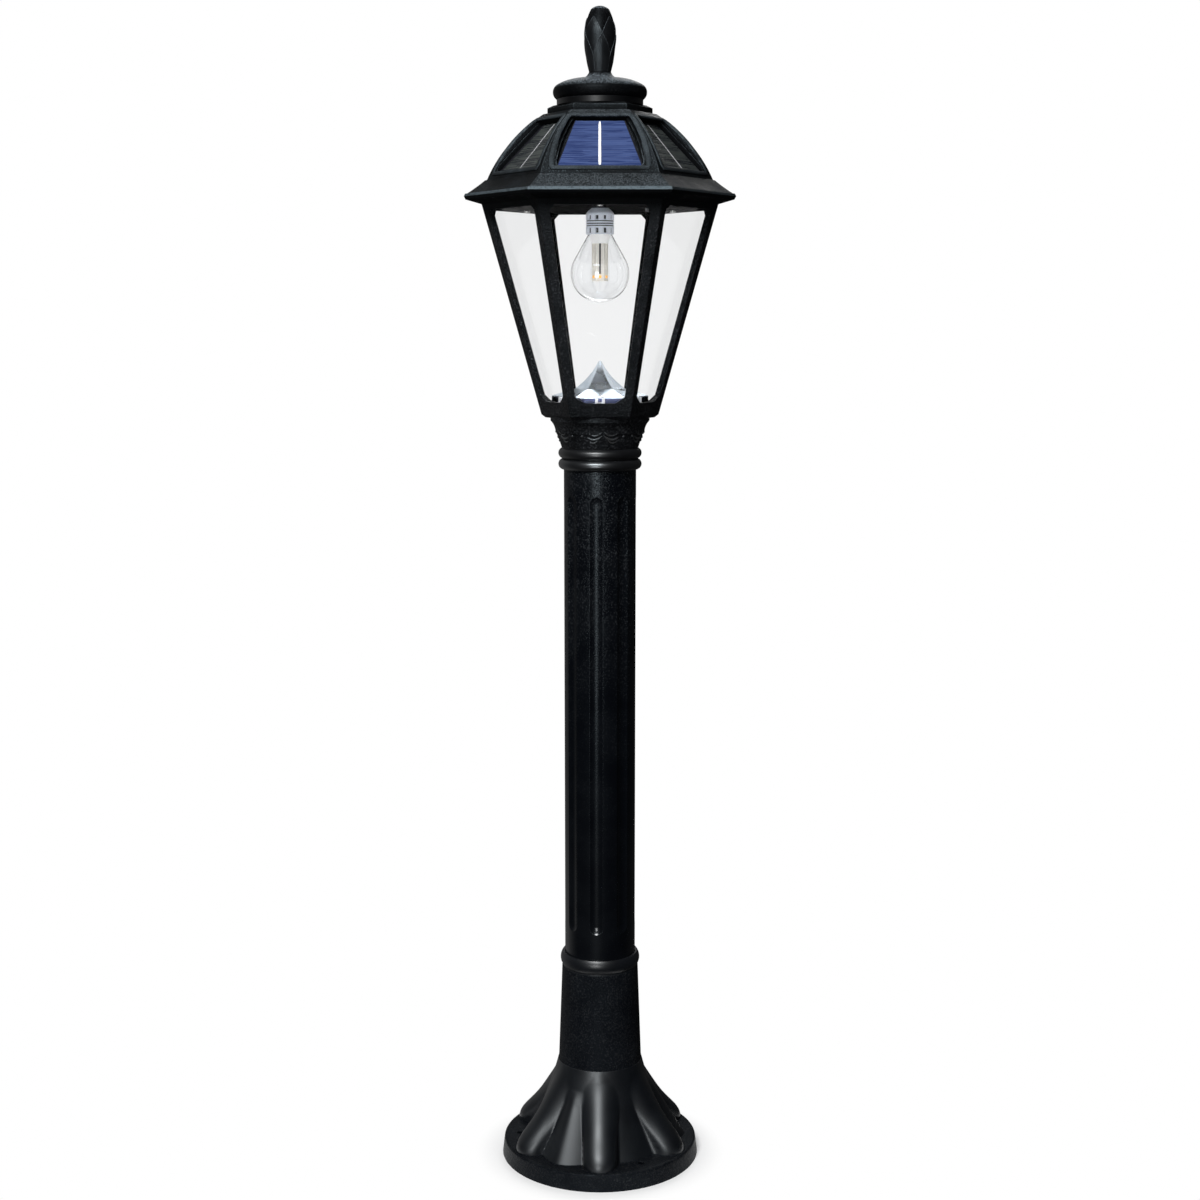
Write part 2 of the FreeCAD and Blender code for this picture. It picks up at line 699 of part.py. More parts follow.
pane_top = frame_top - s.pane_head_down
pane_rise = pane_top - floor_z
pane_foot_out = inner_r(floor_z) * HEX_FLAT
pane_lean_out = inner_r(pane_top) * HEX_FLAT - pane_foot_out
pane_slant = root_of(pane_rise * pane_rise + pane_lean_out * pane_lean_out)
pane_inside = pane_foot_out - s.pane_thick * pane_slant / pane_rise


def make_pane(index):
    body = new_body(f"pane_{index + 1}", turn=SIXTH_TURN * index)
    inset = s.pane_thick * math.tan(math.pi / 6) + s.pane_play
    foot_half = inner_r(floor_z) / 2 - inset
    head_half = inner_r(pane_top) / 2 - inset
    lean = tilt_angle(pane_lean_out, pane_rise)
    sketch = leaning_sketch(body, "PaneOutline", pane_foot_out, floor_z, lean)
    draw(sketch, [(-foot_half, 0), (foot_half, 0), (head_half, pane_slant), (-head_half, pane_slant)])
    pad(body, "PanePad", sketch, s.pane_thick, reverse=True)
    return body


def make_clips():
    clips = []
    for index in range(ROUND_ABOUT):
        front = -(pane_inside - s.fit)
        tab = solid("Part::Box", f"ClipTab{index}", (-s.clip_wide / 2, front, floor_z),
                    Length=s.clip_wide, Width=s.clip_thick, Height=s.clip_tall)
        notch_low = floor_z + s.clip_tall - s.notch_deep
        notch = solid("Part::Box", f"ClipNotch{index}", (-s.notch_wide / 2, front, notch_low),
                      Length=s.notch_wide, Width=s.clip_thick, Height=s.notch_deep)
        clip = doc.addObject("Part::Cut", f"Clip{index}")
        clip.Base = tab
        clip.Tool = notch
        clips.append(turned(clip, SIXTH_TURN * index))
    return group("pane_clips", clips)


def make_reflector():
    body = new_body("reflector_cone")
    tray_r = (pane_inside - s.tray_gap) / HEX_FLAT
    hex_loft(body, "Tray", [(tray_r, floor_z), (tray_r, tray_top)])
    hex_loft(body, "Skirt", [(tray_r, tray_top), (s.cone_foot_r, cone_foot)])
    hex_loft(body, "Cone", [(s.cone_foot_r, cone_foot), (s.cone_mid_r, cone_foot + s.cone_mid_up),
                            (s.cone_tip_r, cone_foot + s.cone_tall)], ruled=False)
    return body


# Roof shell, solar panels and finial

cell_run = s.cell_head_out - s.cell_foot_out
cell_rise = s.cell_head_up - s.cell_foot_up
cell_slant = root_of(cell_run * cell_run + cell_rise * cell_rise)
ceiling_r = inner_r(ceiling_low) - s.ceiling_gap
roof_bore = ceiling_r * HEX_FLAT - s.ceiling_ledge
screw_out = roof_bore + s.ceiling_ledge / 2


def cell_outline(play, swell=()):
    # A swell is the radius that curves the long sides.
    foot = s.cell_foot_half + play
    head = s.cell_head_half + play
    low = -as_size(play)
    high = cell_slant + play
    shoulder = low + s.cell_round
    shoulder_half = between(foot, head, (shoulder - low) / (high - low))
    corner = s.cell_round * CELL_CORNER
    return [
        (-(foot - s.cell_round), low),
        (foot - s.cell_round, low, corner),
        (shoulder_half, shoulder, *swell),
        (head, high),
        (-head, high, *swell),
        (-shoulder_half, shoulder, corner),
    ]


def cell_sketch(body, name, play, lift=0, swell=()):
    # Outline on the panel's plane, or lifted off it.
    out = s.cell_foot_out + cell_rise / cell_slant * lift
    up = dome_foot + s.cell_foot_up - cell_run / cell_slant * lift
    sketch = leaning_sketch(body, name, out, up, tilt_angle(cell_run, cell_rise))
    return draw(sketch, cell_outline(play, swell))


def add_dome(body):
    lip_foot_r = s.lip_r - s.lip_lean
    lip_top_r = s.lip_r - s.lip_bevel_in
    hex_loft(body, "EaveUnder", [(s.frame_top_r, frame_top), (lip_foot_r, lip_low)])
    hex_loft(body, "EaveLip", [(lip_foot_r, lip_low), (s.lip_r, lip_edge), (lip_top_r, lip_top)])
    hex_loft(body, "EaveSlope", [
        (lip_top_r - s.lip_ledge, lip_top),
        (s.eave_mid_r, lip_top + s.eave_tall / 2),
        (s.eave_top_r, dome_foot),
    ], ruled=False)
    hex_loft(body, "Dome", [
        (s.eave_top_r - s.dome_step, dome_foot),
        (s.dome_low_r, dome_foot + s.dome_low_up),
        (s.dome_high_r, dome_foot + s.dome_high_up),
        (s.dome_top_r, dome_top),
    ], ruled=False)
    crown_edge = dome_top + s.crown_tall
    hex_loft(body, "Crown", [(s.crown_r, dome_top), (s.crown_r, crown_edge), (s.crown_top_r, crown_top)])


def make_roof():
    body = new_body("roof_shell")
    add_dome(body)
    bore_r = roof_bore / HEX_FLAT
    hex_loft(body, "Hollow", [
        (bore_r, frame_top - CUT_PAST),
        (bore_r, frame_top + s.roof_bore_up),
        (s.roof_bore_top / HEX_FLAT, hollow_top),
    ], cut=True)
    swell = (s.rib_arc,)
    seat = pocket(body, "CellSeat", cell_sketch(body, "CellOutline", s.fit), s.cell_thick)
    mouth_sketch = cell_sketch(body, "CellMouthOutline", s.fit, swell=swell)
    mouth = pocket(body, "CellMouth", mouth_sketch, s.dome_tall, reverse=True)
    step_sketch = cell_sketch(body, "RibStepOutline", s.rib_border, s.rib_step_up, swell)
    step = pocket(body, "RibStep", step_sketch, s.dome_tall, reverse=True)
    around(body, "Recesses", [seat, mouth, step], ROUND_ABOUT)
    stud_sketch = draw_circle(new_sketch(body, "StudCircle", lift=crown_top), 0, 0, s.stud_r + s.fit)
    body.Tip = pocket(body, "StudHole", stud_sketch, crown_top - hollow_top + CUT_PAST)
    cut_screw_holes(body, frame_top, s.screw_long)
    return body


def cut_screw_holes(body, height, deep):
    for index, bearing in enumerate(SCREW_BEARINGS):
        sketch = new_sketch(body, f"ScrewCircle{index}", lift=height)
        angle = math.radians(bearing)
        draw_circle(sketch, screw_out * math.cos(angle), screw_out * math.sin(angle), s.screw_r + s.fit)
        body.Tip = pocket(body, f"ScrewHole{index}", sketch, deep, reverse=True)


def make_solar_panel(index):
    body = new_body(f"solar_panel_{index + 1}", turn=SIXTH_TURN * index)
    pad(body, "CellPad", cell_sketch(body, "CellOutline", 0), s.cell_thick, reverse=True)
    return body


def make_finial():
    body = new_body("finial")
    neck_top = crown_top + s.neck_tall
    bun_top = neck_top + s.bun_tall
    bun_edge = bun_top - s.bun_shoulder
    bun_root = s.neck_r - s.bun_under
    hole_r = s.stud_r + s.fit
    revolve(body, "FinialTurned", [
        (hole_r, crown_top),
        (s.neck_r, crown_top),
        (s.neck_r, neck_top),
        (bun_root, neck_top, bulge((bun_edge - neck_top) / 2, s.bun_r - bun_root)),
        (bun_root, bun_edge, s.bun_r),
        (s.bud_root_r, bun_top + s.bud_root_up, -s.bud_waist_up),
        (s.bud_foot_r, bun_top + s.bud_waist_up, s.bud_side_arc),
        (s.bud_r, bun_top + s.bud_wide_up, s.bud_top_arc),
        (s.bud_tip_r, bun_top + s.bud_tall - s.bud_tip_tall, bulge(s.bud_tip_r, s.bud_tip_tall)),
        (0, bun_top + s.bud_tall),
        (0, bun_top),
        (hole_r, bun_top),
    ])
    return body


def make_stud():
    low = hollow_top - s.nut_tall - s.stud_past
    return solid("Part::Cylinder", "finial_stud", (0, 0, low), Radius=s.stud_r, Height=s.stud_long)


def make_nut():
    body = new_body("finial_nut")
    hex_loft(body, "NutBlock", [(s.nut_r, hollow_top - s.nut_tall), (s.nut_r, hollow_top)])
    sketch = draw_circle(new_sketch(body, "NutBore", lift=hollow_top), 0, 0, s.stud_r + s.fit)
    pocket(body, "NutHole", sketch, s.nut_tall)
    return body


# Ceiling plate and what it carries

def collar_hole_r():
    taper = (s.collar_r - s.collar_top_r) / s.collar_taper
    return s.collar_top_r + taper * s.ceiling_thick + s.fit * 2


def slot_long():
    return s.knob_long + s.switch_travel + s.fit * 2


def rectangle(middle, half_across, half_along):
    return [(middle - half_across, -half_along), (middle + half_across, -half_along),
            (middle + half_across, half_along), (middle - half_across, half_along)]


def make_ceiling():
    body = new_body("ceiling_plate")
    hex_loft(body, "Plate", [(ceiling_r, ceiling_low), (ceiling_r, frame_top)])
    collar_sketch = draw_circle(new_sketch(body, "CollarCircle", lift=frame_top), 0, 0, collar_hole_r())
    pocket(body, "CollarHole", collar_sketch, s.ceiling_thick)
    slot_sketch = new_sketch(body, "SlotOutline", lift=frame_top)
    draw(slot_sketch, rectangle(s.switch_out, s.knob_wide / 2 + s.fit, slot_long() / 2))
    body.Tip = pocket(body, "SwitchSlot", slot_sketch, s.ceiling_thick)
    cut_screw_holes(body, ceiling_low, s.ceiling_thick)
    return body


def make_ceiling_screws():
    screws = []
    for index, bearing in enumerate(SCREW_BEARINGS):
        place = (screw_out, 0, ceiling_low)
        shank = solid("Part::Cylinder", f"Shank{index}", place, Radius=s.screw_r, Height=s.screw_long)
        under = (screw_out, 0, ceiling_low - s.screw_head_tall)
        head = solid("Part::Cylinder", f"Head{index}", under, Radius=s.screw_head_r, Height=s.screw_head_tall)
        screw = doc.addObject("Part::Fuse", f"CeilingScrew{index}")
        screw.Base = shank
        screw.Tool = head
        screws.append(turned(screw, bearing))
    return group("ceiling_screws", screws)


def make_lampholder():
    body = new_body("lampholder")
    bore = s.cap_r + s.fit
    top = frame_top + s.holder_tall
    revolve(body, "HolderTurned", [(bore, frame_top), (s.holder_r, frame_top), (s.holder_r, top), (0, top),
                                   (0, top - s.holder_roof), (bore, top - s.holder_roof)])
    return body


def make_battery():
    centre_z = frame_top + s.cradle_wall + s.cell_pack_r
    cell = solid("Part::Cylinder", "battery_cell", (-s.cell_pack_long / 2, s.cell_pack_out, centre_z),
                 Radius=s.cell_pack_r, Height=s.cell_pack_long)
    cell.Placement.Rotation = FreeCAD.Rotation(FreeCAD.Vector(0, 1, 0), QUARTER_TURN)
    return cell


def make_cradle():
    wall = s.cradle_wall
    reach = s.cell_pack_r + wall
    half = s.cell_pack_long / 2
    block = solid("Part::Box", "CradleBlock", (-(half + wall), s.cell_pack_out - reach, frame_top),
                  Length=(half + wall) * 2, Width=reach * 2, Height=reach)
    trough = solid("Part::Cylinder", "CradleTrough", (-(half + s.fit), s.cell_pack_out, frame_top + reach),
                   Radius=s.cell_pack_r + s.fit, Height=(half + s.fit) * 2)
    trough.Placement.Rotation = FreeCAD.Rotation(FreeCAD.Vector(0, 1, 0), QUARTER_TURN)
    cradle = doc.addObject("Part::Cut", "battery_cradle")
    cradle.Label = "battery_cradle"
    cradle.Base = block
    cradle.Tool = trough
    return cradle


def make_board():
    place = (-s.board_long / 2, -s.board_out - s.board_wide / 2, frame_top + s.pillar_tall)
    return solid("Part::Box", "circuit_board", place,
                 Length=s.board_long, Width=s.board_wide, Height=s.board_thick)


def make_pillars():
    pillars = []
    reach_x = s.board_long / 2 - s.pillar_inset
    reach_y = s.board_wide / 2 - s.pillar_inset
    for index, (side, end) in enumerate(((1, 1), (1, -1), (-1, 1), (-1, -1))):
        place = (reach_x * side, reach_y * end - s.board_out, frame_top)
        pillar = solid("Part::Cylinder", f"Pillar{index}", place, Radius=s.pillar_r, Height=s.pillar_tall)
        pillars.append(pillar)
    return group("board_pillars", pillars)


def make_switch():
    body = new_body("switch_body")
    block_sketch = new_sketch(body, "SwitchOutline", lift=frame_top)
    draw(block_sketch, rectangle(s.switch_out, s.switch_wide / 2, s.switch_long / 2))
    pad(body, "SwitchBlock", block_sketch, s.switch_tall)
    slot_sketch = new_sketch(body, "SlotOutline", lift=frame_top)
    draw(slot_sketch, rectangle(s.switch_out, s.knob_wide / 2 + s.fit, slot_long() / 2))
    pocket(body, "SwitchSlot", slot_sketch, s.knob_up + s.fit, reverse=True)
    return body


def make_slider():
    along = -(slot_long() / 2 - s.fit)
    place = (s.switch_out - s.knob_wide / 2, along, ceiling_low - s.knob_down)
    return solid("Part::Box", "switch_slider", place,
                 Length=s.knob_wide, Width=s.knob_long, Height=s.knob_down + s.ceiling_thick + s.knob_up)


# Bulb hanging under the ceiling

collar_top = frame_top - s.fit
collar_low = collar_top - s.collar_taper - s.collar_tall
neck_end = collar_low + s.collar_lip
stem_top = neck_end + s.fit
column_top = stem_top - s.stem_tall
column_low = column_top - s.column_long
cap_top = collar_top + s.cap_tall


def make_bulb_glass():
    body = new_body("bulb_glass")
    centre = frame_top - s.bulb_centre_down
    inside = s.bulb_r - s.bulb_wall
    shoulder = centre + s.shoulder_up
    outer_r = root_of(s.bulb_r * s.bulb_r - s.shoulder_up * s.shoulder_up)
    inner_shoulder_r = root_of(inside * inside - s.shoulder_up * s.shoulder_up)
    neck_low = collar_low - s.fit
    revolve(body, "GlassTurned", [
        (0, centre - s.bulb_r, s.bulb_r),
        (outer_r, shoulder),
        (s.bulb_neck_r, neck_low),
        (s.bulb_neck_r, neck_end),
        (s.bulb_neck_r - s.bulb_wall, neck_end),
        (s.bulb_neck_r - s.bulb_wall, neck_low),
        (inner_shoulder_r, shoulder, -inside),
        (0, centre - inside),
    ])
    return body


def make_bulb_collar():
    body = new_body("bulb_collar")
    socket = s.bulb_neck_r + s.fit
    revolve(body, "CollarTurned", [
        (socket, collar_low),
        (s.collar_r, collar_low),
        (s.collar_r, collar_low + s.collar_tall),
        (s.collar_top_r, collar_top),
        (0, collar_top),
        (0, stem_top),
        (socket, stem_top),
    ])
    return body


def make_bulb_cap():
    return solid("Part::Cylinder", "bulb_cap", (0, 0, collar_top), Radius=s.cap_r, Height=s.cap_tall)


def make_bulb_contact():
    return solid("Part::Cone", "bulb_contact", (0, 0, cap_top),
                 Radius1=s.contact_r, Radius2=s.contact_r / 2, Height=s.contact_tall)


def make_bulb_stem():
    body = new_body("bulb_stem")
    revolve(body, "StemTurned", [(0, column_top), (s.column_r, column_top),
                                 (s.bulb_neck_r - s.bulb_wall - s.fit * 2, stem_top), (0, stem_top)])
    return body


def make_column():
    body = new_body("led_column")
    hex_loft(body, "Column", [(s.column_r, column_low), (s.column_r, column_top)])
    flat = s.column_r * HEX_FLAT
    sketch = new_sketch(body, "SlitOutline", "XZ_Plane", lift=flat - s.slit_deep)
    half = s.slit_wide / 2
    slit_low = column_top - s.slit_long
    draw(sketch, [(-half, slit_low), (half, slit_low), (half, column_top), (-half, column_top)])
    slit = pocket(body, "Slit", sketch, s.slit_deep + CUT_PAST, reverse=True)
    around(body, "Slits", [slit], ROUND_ABOUT)
    return body


def make_chips():
    chips = []
    for index in range(ROUND_ABOUT):
        place = (-s.chip_wide / 2, -(s.column_r * HEX_FLAT + s.chip_thick), column_low + s.chip_up)
        chip = solid("Part::Box", f"Chip{index}", place,
                     Length=s.chip_wide, Width=s.chip_thick, Height=s.chip_wide)
        chips.append(turned(chip, SIXTH_TURN * index))
    return group("led_chips", chips)


def build():
    pieces = [make_foot(), make_post(), make_collar(), make_grub_screws(), make_frame(), make_clips()]
    pieces += [make_pane(index) for index in range(ROUND_ABOUT)]
    pieces += [make_reflector(), make_roof()]
    pieces += [make_solar_panel(index) for index in range(ROUND_ABOUT)]
    pieces += [make_finial(), make_stud(), make_nut()]
    pieces += [make_ceiling(), make_ceiling_screws(), make_lampholder()]
    pieces += [make_battery(), make_cradle(), make_board(), make_pillars(), make_switch(), make_slider()]
    pieces += [make_bulb_glass(), make_bulb_collar(), make_bulb_cap(), make_bulb_contact(), make_bulb_stem()]
    pieces += [make_column(), make_chips()]
    return pieces


def check(pieces):
    for item in doc.Objects:
        if "Invalid" in item.State or "Error" in item.State:
            raise RuntimeError(f"{item.Label} failed: {item.State}")
    for piece in pieces:
        if piece.Shape.isNull() or not piece.Shape.isValid():
            raise RuntimeError(f"{piece.Label} has no valid shape")


def write(pieces):
    os.makedirs("parts", exist_ok=True)
    for piece in pieces:
        piece.Shape.exportStep(f"parts/{piece.Label}.step")
        box = piece.Shape.BoundBox
        print(f"{piece.Label}: {len(piece.Shape.Solids)} solids, {piece.Shape.Volume:.0f} mm3, "
              f"z {box.ZMin:.1f} to {box.ZMax:.1f}, x {box.XMin:.1f} to {box.XMax:.1f}")


pieces = build()
doc.recompute()
check(pieces)
write(pieces)
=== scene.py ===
import math

import bmesh
import bpy
from mathutils import Matrix, Vector
from mathutils.bvhtree import BVHTree


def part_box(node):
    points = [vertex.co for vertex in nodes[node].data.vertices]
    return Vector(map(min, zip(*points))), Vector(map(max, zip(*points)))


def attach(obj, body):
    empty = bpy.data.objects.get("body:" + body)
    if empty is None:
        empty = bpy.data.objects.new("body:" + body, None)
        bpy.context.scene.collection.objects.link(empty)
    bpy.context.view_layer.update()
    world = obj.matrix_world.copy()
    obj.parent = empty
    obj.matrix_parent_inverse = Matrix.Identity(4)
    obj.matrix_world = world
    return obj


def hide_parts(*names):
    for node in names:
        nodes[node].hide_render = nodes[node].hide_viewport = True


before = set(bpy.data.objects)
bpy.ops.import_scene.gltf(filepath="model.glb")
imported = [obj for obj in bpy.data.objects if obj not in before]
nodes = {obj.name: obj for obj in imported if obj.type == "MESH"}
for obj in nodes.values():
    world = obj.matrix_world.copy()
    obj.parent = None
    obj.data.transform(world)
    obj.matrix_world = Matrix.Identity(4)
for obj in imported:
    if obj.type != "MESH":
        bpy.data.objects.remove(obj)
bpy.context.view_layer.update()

mm = 0.001
scene = bpy.context.scene
scene.view_settings.view_transform = "Standard"
print("frame loaded:", len(nodes), "nodes")


# Small helpers for shader trees

def addNode(tree, kind, **settings):
    node = tree.nodes.new(kind)
    for key, value in settings.items():
        setattr(node, key, value)
    return node


def plug(tree, socket, value):  # a number, a colour or another node's output
    if isinstance(value, bpy.types.NodeSocket):
        tree.links.new(value, socket)
    else:
        socket.default_value = value


def feed(tree, node, **values):  # sockets by name, with underscores for the spaces
    for label, value in values.items():
        plug(tree, node.inputs[label.replace("_", " ")], value)


def calc(tree, operation, first, second=0.0, clamp=False):
    node = addNode(tree, "ShaderNodeMath", operation=operation, use_clamp=clamp)
    plug(tree, node.inputs[0], first)
    plug(tree, node.inputs[1], second)
    return node.outputs[0]


def times(tree, first, second):
    return calc(tree, "MULTIPLY", first, second)


def remap(tree, value, low, high, newLow=0.0, newHigh=1.0):
    node = addNode(tree, "ShaderNodeMapRange", interpolation_type="SMOOTHSTEP")
    for index, item in enumerate((value, low, high, newLow, newHigh)):
        plug(tree, node.inputs[index], item)
    return node.outputs[0]


def mixColour(tree, share, first, second):
    node = addNode(tree, "ShaderNodeMix", data_type="RGBA")
    plug(tree, node.inputs[0], share)
    plug(tree, node.inputs[6], first)
    plug(tree, node.inputs[7], second)
    return node.outputs[2]


def objectPlace(tree):
    return addNode(tree, "ShaderNodeTexCoord").outputs["Object"]


def noise(tree, place, scale, detail=3.0, roughness=0.55):
    node = addNode(tree, "ShaderNodeTexNoise")
    feed(tree, node, Vector=place, Scale=scale, Detail=detail, Roughness=roughness)
    return node.outputs[0]


def splitAxes(tree, vector):
    node = addNode(tree, "ShaderNodeSeparateXYZ")
    plug(tree, node.inputs[0], vector)
    return node.outputs


def height(tree):
    return splitAxes(tree, objectPlace(tree))["Z"]


def faceNormal(tree):
    return addNode(tree, "ShaderNodeNewGeometry").outputs["Normal"]


def alignment(tree, first, second):  # 1 where two directions agree
    node = addNode(tree, "ShaderNodeVectorMath", operation="DOT_PRODUCT")
    plug(tree, node.inputs[0], first)
    plug(tree, node.inputs[1], second)
    return node.outputs["Value"]


# Effects that several finishes share

def startGroup(name, inputs, values, normals=()):
    tree = bpy.data.node_groups.new(name, "ShaderNodeTree")
    for label, value in inputs.items():
        socket = tree.interface.new_socket(label, in_out="INPUT", socket_type="NodeSocketFloat")
        socket.default_value = value
    for labels, kind in ((values, "NodeSocketFloat"), (normals, "NodeSocketVector")):
        for label in labels:
            tree.interface.new_socket(label, in_out="OUTPUT", socket_type=kind)
    given = tree.nodes.new("NodeGroupInput").outputs
    result = tree.nodes.new("NodeGroupOutput").inputs
    return tree, given, result


grainShape = {"pebbles": 0.5, "fine": 0.9, "tops": (0.46, 0.66), "paintedGlints": (0.52, 0.72), "patchScale": 26.0,
              "patchSpan": (0.3, 0.6)}


def buildCastGrain():  # leather-like grain of the cast resin, with painted glints on its tops
    tree, given, result = startGroup("castGrain", {"Scale": 600.0}, ("Height", "Patches", "PaintedGlints"))
    place = objectPlace(tree)
    pebbles = addNode(tree, "ShaderNodeTexVoronoi", feature="SMOOTH_F1")
    feed(tree, pebbles, Vector=place, Scale=given["Scale"])
    fine = noise(tree, place, times(tree, given["Scale"], grainShape["fine"]), 2.0)
    rounded = times(tree, pebbles.outputs["Distance"], grainShape["pebbles"])
    patches = noise(tree, place, grainShape["patchScale"], 4.0)
    paintedGlints = remap(tree, fine, *grainShape["paintedGlints"])
    plug(tree, result["Height"], calc(tree, "ADD", rounded, remap(tree, fine, *grainShape["tops"])))
    plug(tree, result["Patches"], patches)
    plug(tree, result["PaintedGlints"], times(tree, paintedGlints, remap(tree, patches, *grainShape["patchSpan"])))
    return tree


edgeShape = {"samples": 8, "scale": 120.0, "rubbedAndPaintedLight": (0.35, 0.65)}


def buildEdgeBends():  # mask of bent edges in rubbed patches, for worn edges, painted edge highlights and painted crease shade, and a normal that rounds them
    tree, given, result = startGroup("edgeBends", {"Radius": 1.2 * mm, "Gain": 4.0}, ("Mask",), ("Normal",))
    rounded = addNode(tree, "ShaderNodeBevel", samples=edgeShape["samples"])
    plug(tree, rounded.inputs["Radius"], given["Radius"])
    bend = calc(tree, "SUBTRACT", 1.0, alignment(tree, rounded.outputs[0], faceNormal(tree)))
    rubbedAndPaintedLight = remap(tree, noise(tree, objectPlace(tree), edgeShape["scale"], 5.0, 0.7), *edgeShape["rubbedAndPaintedLight"])
    plug(tree, result["Mask"], calc(tree, "MULTIPLY", times(tree, bend, given["Gain"]), rubbedAndPaintedLight, clamp=True))
    plug(tree, result["Normal"], rounded.outputs[0])
    return tree


upwardDustAndLightShape = {"upward": (0.35, 0.95), "scale": 640.0, "speckle": (0.40, 0.66)}


def buildUpwardDustAndLight():  # thin dust and a painted top light on faces that look up
    tree, given, result = startGroup("upwardDustAndLight", {"Amount": 0.2}, ("Mask",))
    upward = remap(tree, splitAxes(tree, faceNormal(tree))["Z"], *upwardDustAndLightShape["upward"])
    speckle = noise(tree, objectPlace(tree), upwardDustAndLightShape["scale"], 4.0, 0.65)
    speckle = remap(tree, speckle, *upwardDustAndLightShape["speckle"])
    plug(tree, result["Mask"], times(tree, times(tree, upward, speckle), given["Amount"]))
    return tree


castGrain = buildCastGrain()
edgeBends = buildEdgeBends()
upwardDustAndLight = buildUpwardDustAndLight()


def placeGroup(tree, group, **values):
    node = addNode(tree, "ShaderNodeGroup", node_tree=group)
    feed(tree, node, **values)
    return node.outputs


def newFinish(name, **values):  # Principled shader with its plain values set on its own sockets
    finish = bpy.data.materials.new(name)
    finish.use_nodes = True
    shader = finish.node_tree.nodes["Principled BSDF"]
    feed(finish.node_tree, shader, **values)
    return finish, finish.node_tree, shader


def addBump(tree, shader, heightOut, depth, normal=None):
    bump = addNode(tree, "ShaderNodeBump")
    feed(tree, bump, Distance=depth, Height=heightOut)
    if normal is not None:
        feed(tree, bump, Normal=normal)
    feed(tree, shader, Normal=bump.outputs["Normal"])


# Black cast resin, in its grained and satin forms

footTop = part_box("base_foot")[1].z
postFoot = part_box("post_tube")[0].z
ringFoot, ringTop = (corner.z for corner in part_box("post_collar"))
frameFoot, frameTop = (corner.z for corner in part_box("lantern_frame"))
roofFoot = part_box("roof_shell")[0].z
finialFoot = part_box("finial")[0].z
spare = 1.0 * mm  # takes a zone past the end of its piece
usualSpan = (0.3, 0.7)  # where most of a noise's values lie
roofLook = {"colour": (0.0025, 0.0028, 0.003, 1), "cloud": (0.0080, 0.0096, 0.0112, 1),
            "wearAndSheen": (0.132, 0.160, 0.180, 1), "paintedGlint": (0.048, 0.060, 0.068, 1),
            "grainScale": 980.0, "grainDepth": 0.26 * mm, "rough": (0.36, 0.52),
            "edge": 1.8 * mm, "wear": 4.0, "dustAndTopLight": 0.55, "specular": 0.08,
            "rubbedAndPaintedLight": ((roofFoot + 7.8 * mm, roofFoot + 11.2 * mm),),
            "rubbedAndPaintedLightColour": (0.092, 0.118, 0.134, 1), "paintedLightFacing": (-0.08, -0.99, 0.10),
            # the shaded zone under the lip and hollows within the AO distance get painted shade
            "shaded": ((roofFoot - spare, roofFoot + 7.8 * mm),), "hollow": 12.0 * mm}
# rims: a lighter copy of the roof resin, painted as lit
rimLook = dict(roofLook, colour=(0.0128, 0.0155, 0.0176, 1), cloud=(0.031, 0.038, 0.0435, 1),
               wearAndSheen=(0.235, 0.28, 0.31, 1), edge=1.2 * mm, grainDepth=0.12 * mm)
frameLook = {"colour": (0.002, 0.0021, 0.0025, 1), "cloud": (0.0045, 0.0046, 0.0055, 1),
             "wearAndSheen": (0.03, 0.03, 0.033, 1), "paintedGlint": (0.030, 0.031, 0.034, 1),
             "grainScale": 560.0, "grainDepth": 0.5 * mm, "rough": (0.34, 0.48),
             "edge": 1.0 * mm, "wear": 1.2, "dustAndTopLight": 0.04, "specular": 0.16,
             "polished": ((frameFoot - spare, frameFoot + 56.7 * mm),), "coat": (1.0, 0.34),
             # painted eave shadow: the top of the frame is painted near black
             "paintedEaveShadow": (frameTop - 30 * mm, frameTop - 8 * mm)}
postLook = {"colour": (0.0015, 0.0019, 0.0029, 1), "cloud": (0.0026, 0.0032, 0.0044, 1),
            "wearAndSheen": (0.03, 0.03, 0.034, 1), "paintedGlint": (0.026, 0.028, 0.031, 1),
            "grainScale": 640.0, "grainDepth": 0.16 * mm, "rough": (0.25, 0.29),
            "edge": 0.8 * mm, "wear": 1.0, "dustAndTopLight": 0.01, "specular": 0.16,
            "grainFrom": (postFoot + 360 * mm, postFoot + 720 * mm),
            "polished": ((footTop + 0.5 * mm, postFoot + 400 * mm),),
            "fade": (postFoot + 180 * mm, postFoot + 400 * mm), "coat": (0.7, 0.20)}
footLook = {"colour": (0.0023, 0.0029, 0.0043, 1), "cloud": (0.0044, 0.0054, 0.0073, 1),
            "wearAndSheen": (0.06, 0.06, 0.06, 1), "paintedGlint": (0.022, 0.023, 0.025, 1),
            "grainScale": 700.0, "grainDepth": 0.30 * mm, "rough": (0.36, 0.46),
            "edge": 1.4 * mm, "wear": 0.8, "dustAndTopLight": 0.03, "specular": 0.09,
            "polished": ((19.0 * mm, 107.3 * mm), (footTop - 16 * mm, footTop + spare)), "coat": (1.0, 0.36)}
petalLook = dict(footLook, colour=(0.0010, 0.0016, 0.0030, 1), cloud=(0.0020, 0.0030, 0.0048, 1),
                 specular=0.3, coat=(1.0, 0.41))
satinLook = {"colour": (0.003, 0.0032, 0.0038, 1), "cloud": (0.0055, 0.0057, 0.0065, 1),
             "wearAndSheen": (0.05, 0.05, 0.054, 1), "paintedGlint": (0.010, 0.0102, 0.011, 1),
             "grainScale": 1100.0, "grainDepth": 0.05 * mm, "rough": (0.27, 0.34),
             "edge": 0.8 * mm, "wear": 1.0, "dustAndTopLight": 0.05, "specular": 0.6,
             "polished": ((ringFoot - spare, ringTop + spare),), "coat": (1.0, 0.34)}
